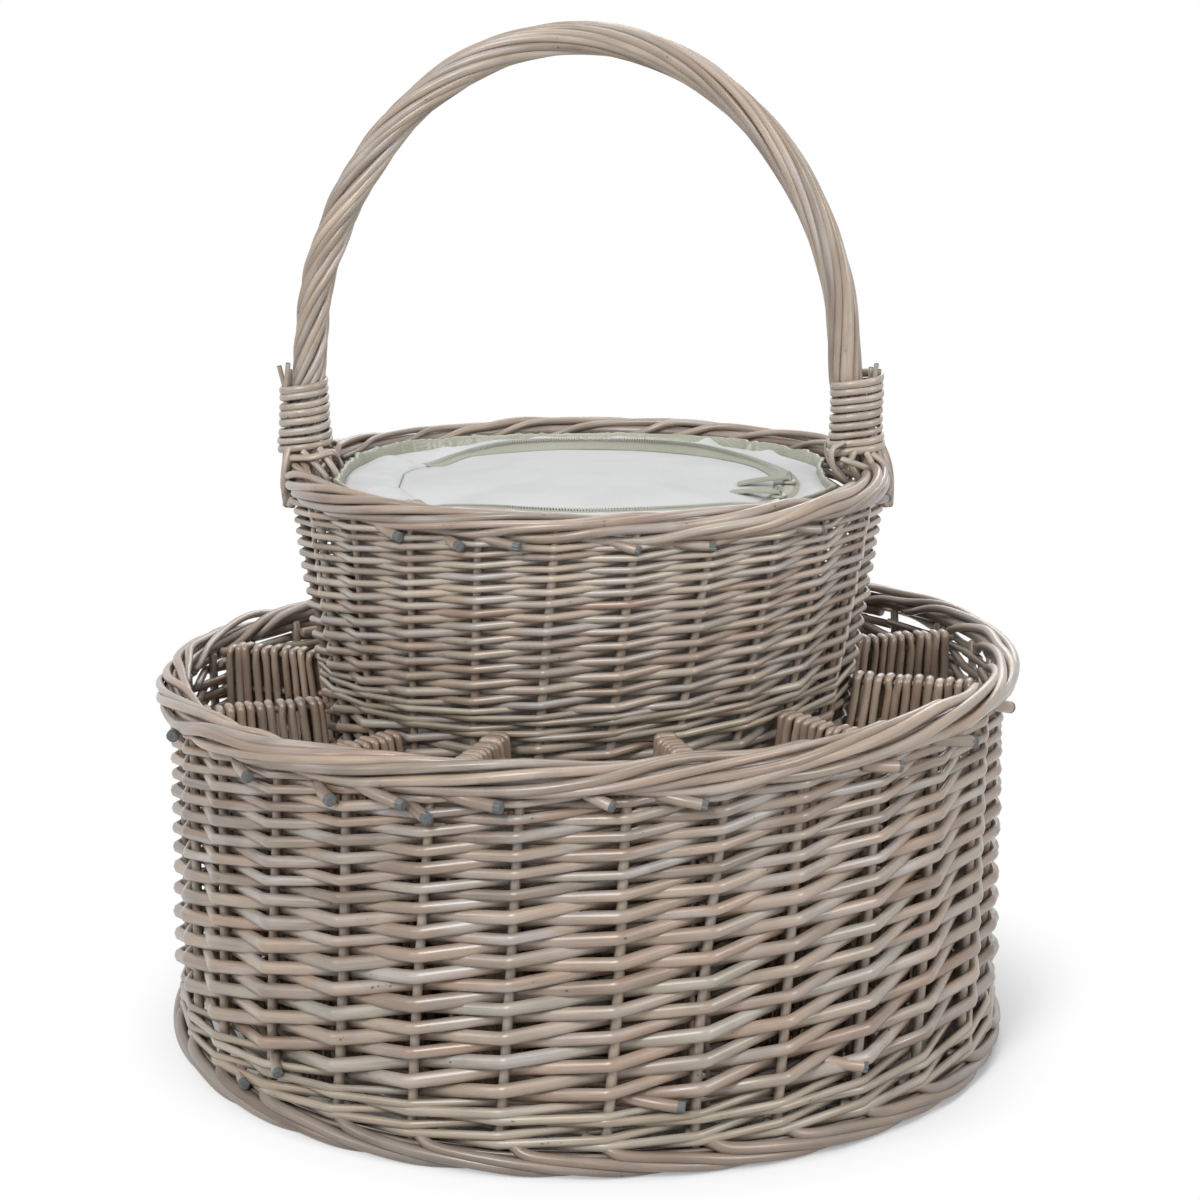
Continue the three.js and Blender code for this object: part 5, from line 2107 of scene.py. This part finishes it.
@dataclass
class ZipPull(Part):
    """A zip slider with the webbing tag that hangs from it.

    The degrees from +X say where it rests, and the swing how far the tag's free end lies aside, as a
    share of the tag's length.
    """

    name: str
    degrees: float
    swing: float
    length: float = 0.0128
    width: float = 0.0088
    level: float = 0.3782
    ear: float = 0.3818
    tag_length: float = 0.0350

    def place(self, piece: Piece) -> None:
        """Carries a piece modelled at the origin, with the zip along Y, out to its slider.

        Args:
            piece: The object.
        """
        angle = math.radians(self.degrees)
        piece.rotation_euler = (0, 0, angle)
        piece.location = (ZIP_RADIUS * math.cos(angle), ZIP_RADIUS * math.sin(angle), float(lift(angle)))
        seat(piece)

    def build(self) -> None:
        """Builds the slider and its tag."""
        self._slider()
        self._tag()

    def _slider(self) -> None:
        """The slider: a shield-shaped plate with raised rails and the arch that holds the tag."""
        deselect()
        size = (self.width, self.length, 0.0014)
        bpy.ops.mesh.primitive_cube_add(size=1, location=(0, 0, self.level + size[2] / 2), scale=size)
        body = bpy.context.object
        body.name = f"zip_slider_{self.name}_body"
        seat(body)
        bpy.ops.object.mode_set(mode="EDIT")
        for offset in (-0.25, 0.0, 0.25):
            bpy.ops.mesh.select_all(action="SELECT")
            bpy.ops.mesh.bisect(plane_co=(0, offset * self.length, 0), plane_no=(0, 1, 0))
        choose(body, lambda centre, normal: normal.y > 0.9)
        bpy.ops.transform.resize(value=(0.72, 1, 1))
        choose(body, lambda centre, normal: normal.y < -0.9)
        bpy.ops.transform.resize(value=(0.5, 1, 1))
        choose(body, lambda centre, normal: normal.z > 0.9)
        bpy.ops.mesh.inset(thickness=0.0012, depth=0.0005)
        bpy.ops.object.mode_set(mode="OBJECT")
        modify(body, "BEVEL", width=0.0004, segments=2, limit_method="ANGLE")
        arch = self._arch()
        only(body)
        arch.select_set(True)
        bpy.ops.object.join()
        bpy.ops.object.shade_smooth_by_angle(angle=math.radians(40))
        self.place(body)
        body.data.materials.append(self.finishes.slider)
        settle(body, f"slider_{self.name}", "slider_metal", f"zip_slider_{self.name}")

    def _arch(self) -> Piece:
        """The arch over the slider, bent from a flat bar.

        Returns:
            The arch.
        """
        deselect()
        bpy.ops.mesh.primitive_torus_add(
            location=(0, 0, self.ear - 0.0002),
            rotation=(math.pi / 2, 0, 0),
            major_radius=0.0017,
            minor_radius=0.0005,
            major_segments=28,
            minor_segments=10,
        )
        arch = bpy.context.object
        arch.scale = (1.0, 2.2, 0.8)
        seat(arch)
        return arch

    def _tag(self) -> None:
        """The tag: a loop of webbing, stitched flat, that turns on the slider's arch."""
        deselect()
        reach = self.tag_length
        past = 0.0008
        bpy.ops.mesh.primitive_cube_add(
            size=1, location=(-reach / 2 + past, 0, self.ear), scale=(reach, 0.0092, 0.0021)
        )
        tag = bpy.context.object
        tag.name = f"pull_tag_{self.name}_webbing"
        seat(tag)
        bpy.ops.object.mode_set(mode="EDIT")
        for step in range(1, 24):
            bpy.ops.mesh.select_all(action="SELECT")
            bpy.ops.mesh.bisect(plane_co=(past - reach * step / 24, 0, 0), plane_no=(1, 0, 0))
        bpy.ops.mesh.select_all(action="SELECT")
        bpy.ops.mesh.bisect(plane_co=(0, 0, 0), plane_no=(0, 1, 0))
        bpy.ops.object.mode_set(mode="OBJECT")
        for vertex in tag.data.vertices:
            share = max(0.0, min(1.0, -vertex.co.x / reach))
            vertex.co.z -= 0.0031 * share
            vertex.co.z += 0.0009 * math.sin(math.pi * share)
            vertex.co.y *= 0.55 + 0.45 * min(1.0, share * 5) if share < 0.2 else 1.0
            vertex.co.y -= self.swing * reach * share
        modify(tag, "BEVEL", width=0.0004, segments=2, limit_method="ANGLE")
        modify(tag, "SUBSURF", levels=1, render_levels=1)
        bpy.ops.object.shade_smooth_by_angle(angle=math.radians(60))
        self.place(tag)
        tag.data.materials.append(self.finishes.webbing)
        settle(tag, f"tag_{self.name}", "sage_webbing", f"pull_tag_{self.name}")


@dataclass
class Cooler(Part):
    """The soft zipped cooler that stands in the inner basket."""

    def build(self) -> None:
        """Builds the cooler from its cups to its zip pulls."""
        CoolerCup(
            "cooler_shell_cloth", "cooler_shell", "grey_cloth", self.finishes.cloth,
            inset=0.0, wall=0.0016, fill=0.2, crease=0.0009,
        ).build()
        CoolerCup(
            "cooler_foam_wall", "cooler_foam", "foam", self.finishes.foam,
            inset=0.0042, wall=0.0040, fill=0.4, crease=0.0,
        ).build()
        CoolerCup(
            "cooler_liner_wall", "cooler_liner", "liner_foil", self.finishes.liner,
            inset=0.0086, wall=0.0010, fill=0.2, crease=0.0008, top=0.3710,
        ).build()
        CoolerTop(self.finishes).build()
        Lid(self.finishes).build()
        ZipPull(self.finishes, "back", degrees=-4, swing=0.32).build()
        ZipPull(self.finishes, "front", degrees=-22, swing=-0.06).build()


# The stage


def in_view(graph: Graph) -> Socket:
    """Where the camera sees a surface, by itself or through a gloss or a clear piece.

    Args:
        graph: The graph that the nodes are placed in.

    Returns:
        1 where it is seen so, and 0 where it only gives light.
    """
    path = graph.add("LightPath").outputs
    through = graph.math("MAXIMUM", path["Is Glossy Ray"], path["Is Transmission Ray"])
    return graph.math("MAXIMUM", path["Is Camera Ray"], through)


@dataclass
class Stage:
    """The pale floor, the lamps, the white surroundings and the camera."""

    floor_radius: float = 6.0
    shadow_centre: tuple[float, float, float] = (0.03, 0.02, 0.0)
    shadow_reach: Pair = (0.24, 0.37)

    def build(self) -> None:
        """Sets the stage."""
        self._floor()
        self._lamps()
        self._world()
        self._camera()

    def _floor(self) -> None:
        """A pale disc that takes the shadow and turns white away from the basket."""
        deselect()
        bpy.ops.mesh.primitive_circle_add(vertices=96, radius=self.floor_radius, fill_type="NGON")
        floor = bpy.context.object
        floor.name = "floor"
        material, graph, shader = surface("floor_white", 0.9)
        place = graph.add("TexCoord").outputs["Object"]
        aside = graph.add("VectorMath", {0: place, 1: self.shadow_centre}, operation="SUBTRACT").outputs[0]
        far = graph.add("VectorMath", {0: aside}, operation="LENGTH").outputs["Value"]
        seen = graph.add("LightPath").outputs["Is Camera Ray"]
        base = graph.blend(seen, (0.6, 0.6, 0.6), (0.95, 0.955, 0.96))
        graph.feed(shader, {"Base Color": base, "Specular IOR Level": 0.0})
        share = graph.math("MULTIPLY", graph.ramp(far, *self.shadow_reach), in_view(graph))
        white = graph.add("Emission", {"Color": (1, 1, 1, 1), "Strength": 1.0})
        mix = graph.add("MixShader", {0: share, 1: shader.outputs[0], 2: white.outputs[0]})
        graph.feed(material.node_tree.nodes["Material Output"], {"Surface": mix.outputs[0]})
        floor.data.materials.append(material)

    @staticmethod
    def _lamps() -> None:
        """A soft key from the front left, weaker ones from the right and behind, and one overhead."""
        for name, place, size, power in (
            ("key_lamp", (-1.0, -2.4, 2.0), 0.9, 49.0),
            ("left_lamp", (-2.5, -1.35, 1.35), 0.5, 11.0),
            ("side_lamp", (2.0, -1.8, 1.5), 1.0, 29.0),
            ("top_lamp", (0.2, 0.2, 2.8), 1.6, 22.0),
            ("back_lamp", (0.6, 2.6, 1.7), 1.4, 14.0),
        ):
            lamp = bpy.data.objects.new(name, bpy.data.lights.new(name, "AREA"))
            lamp.data.shape = "DISK"
            lamp.data.size = size
            lamp.data.energy = power
            lamp.location = place
            lamp.rotation_euler = (Vector((0, 0, 0.25)) - Vector(place)).to_track_quat("-Z", "Y").to_euler()
            bpy.context.scene.collection.objects.link(lamp)

    @staticmethod
    def _world() -> None:
        """A soft pale light all round, and white where the camera looks past the floor."""
        world = bpy.data.worlds.new("surroundings")
        bpy.context.scene.world = world
        world.use_nodes = True
        graph = Graph(world.node_tree)
        soft = graph.add("Background", {"Color": (0.93, 0.96, 1.0, 1), "Strength": 0.41})
        white = graph.add("Background", {"Color": (1, 1, 1, 1), "Strength": 1.0})
        mix = graph.add("MixShader", {0: in_view(graph), 1: soft.outputs[0], 2: white.outputs[0]})
        graph.feed(world.node_tree.nodes["World Output"], {"Surface": mix.outputs[0]})

    @staticmethod
    def _camera() -> None:
        """The camera at the photograph's angle."""
        camera = bpy.data.objects.new("camera", bpy.data.cameras.new("camera"))
        camera.data.sensor_width = 36.0
        camera.data.lens = 81.6
        camera.data.shift_x = 0.0104
        camera.location = (0.0, -1.794, 0.688)
        camera.rotation_euler = (math.radians(77.6), 0.0, 0.0)
        bpy.context.scene.collection.objects.link(camera)
        bpy.context.scene.camera = camera


def main() -> None:
    """Builds the basket piece by piece, and the stage round it."""
    logging.basicConfig(level=logging.INFO, format="%(message)s")
    bpy.context.scene.view_settings.view_transform = "Standard"
    finishes = Finishes()
    OuterBasket(finishes).build()
    InnerBasket(finishes).build()
    RolledBorder(
        finishes, "lower_rim_rods", "lower_rim", rods=30, ring=0.278, height=0.249, rope=0.012,
        butt=0.0075, tip=0.0052, run=(-6, 3, 14, 26, 38, 48, 55, 61), seed=32, lean=LEAN,
    ).build()
    RolledBorder(
        finishes, "upper_rim_rods", "upper_rim", rods=25, ring=0.191, height=0.380, rope=0.010,
        butt=0.0066, tip=0.0047, run=(-7, 4, 17, 31, 45, 58, 66, 73), seed=33,
    ).build()
    FootBorder(finishes).build()
    CutEnds(finishes).build()
    Base(finishes).build()
    dividers = [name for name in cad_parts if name.startswith("divider_")]
    for number in range(1, len(dividers) + 1):
        Divider(finishes, number).build()
    Handle(finishes).build()
    Cooler(finishes).build()
    Stage().build()


if __name__ == "__main__":
    main()
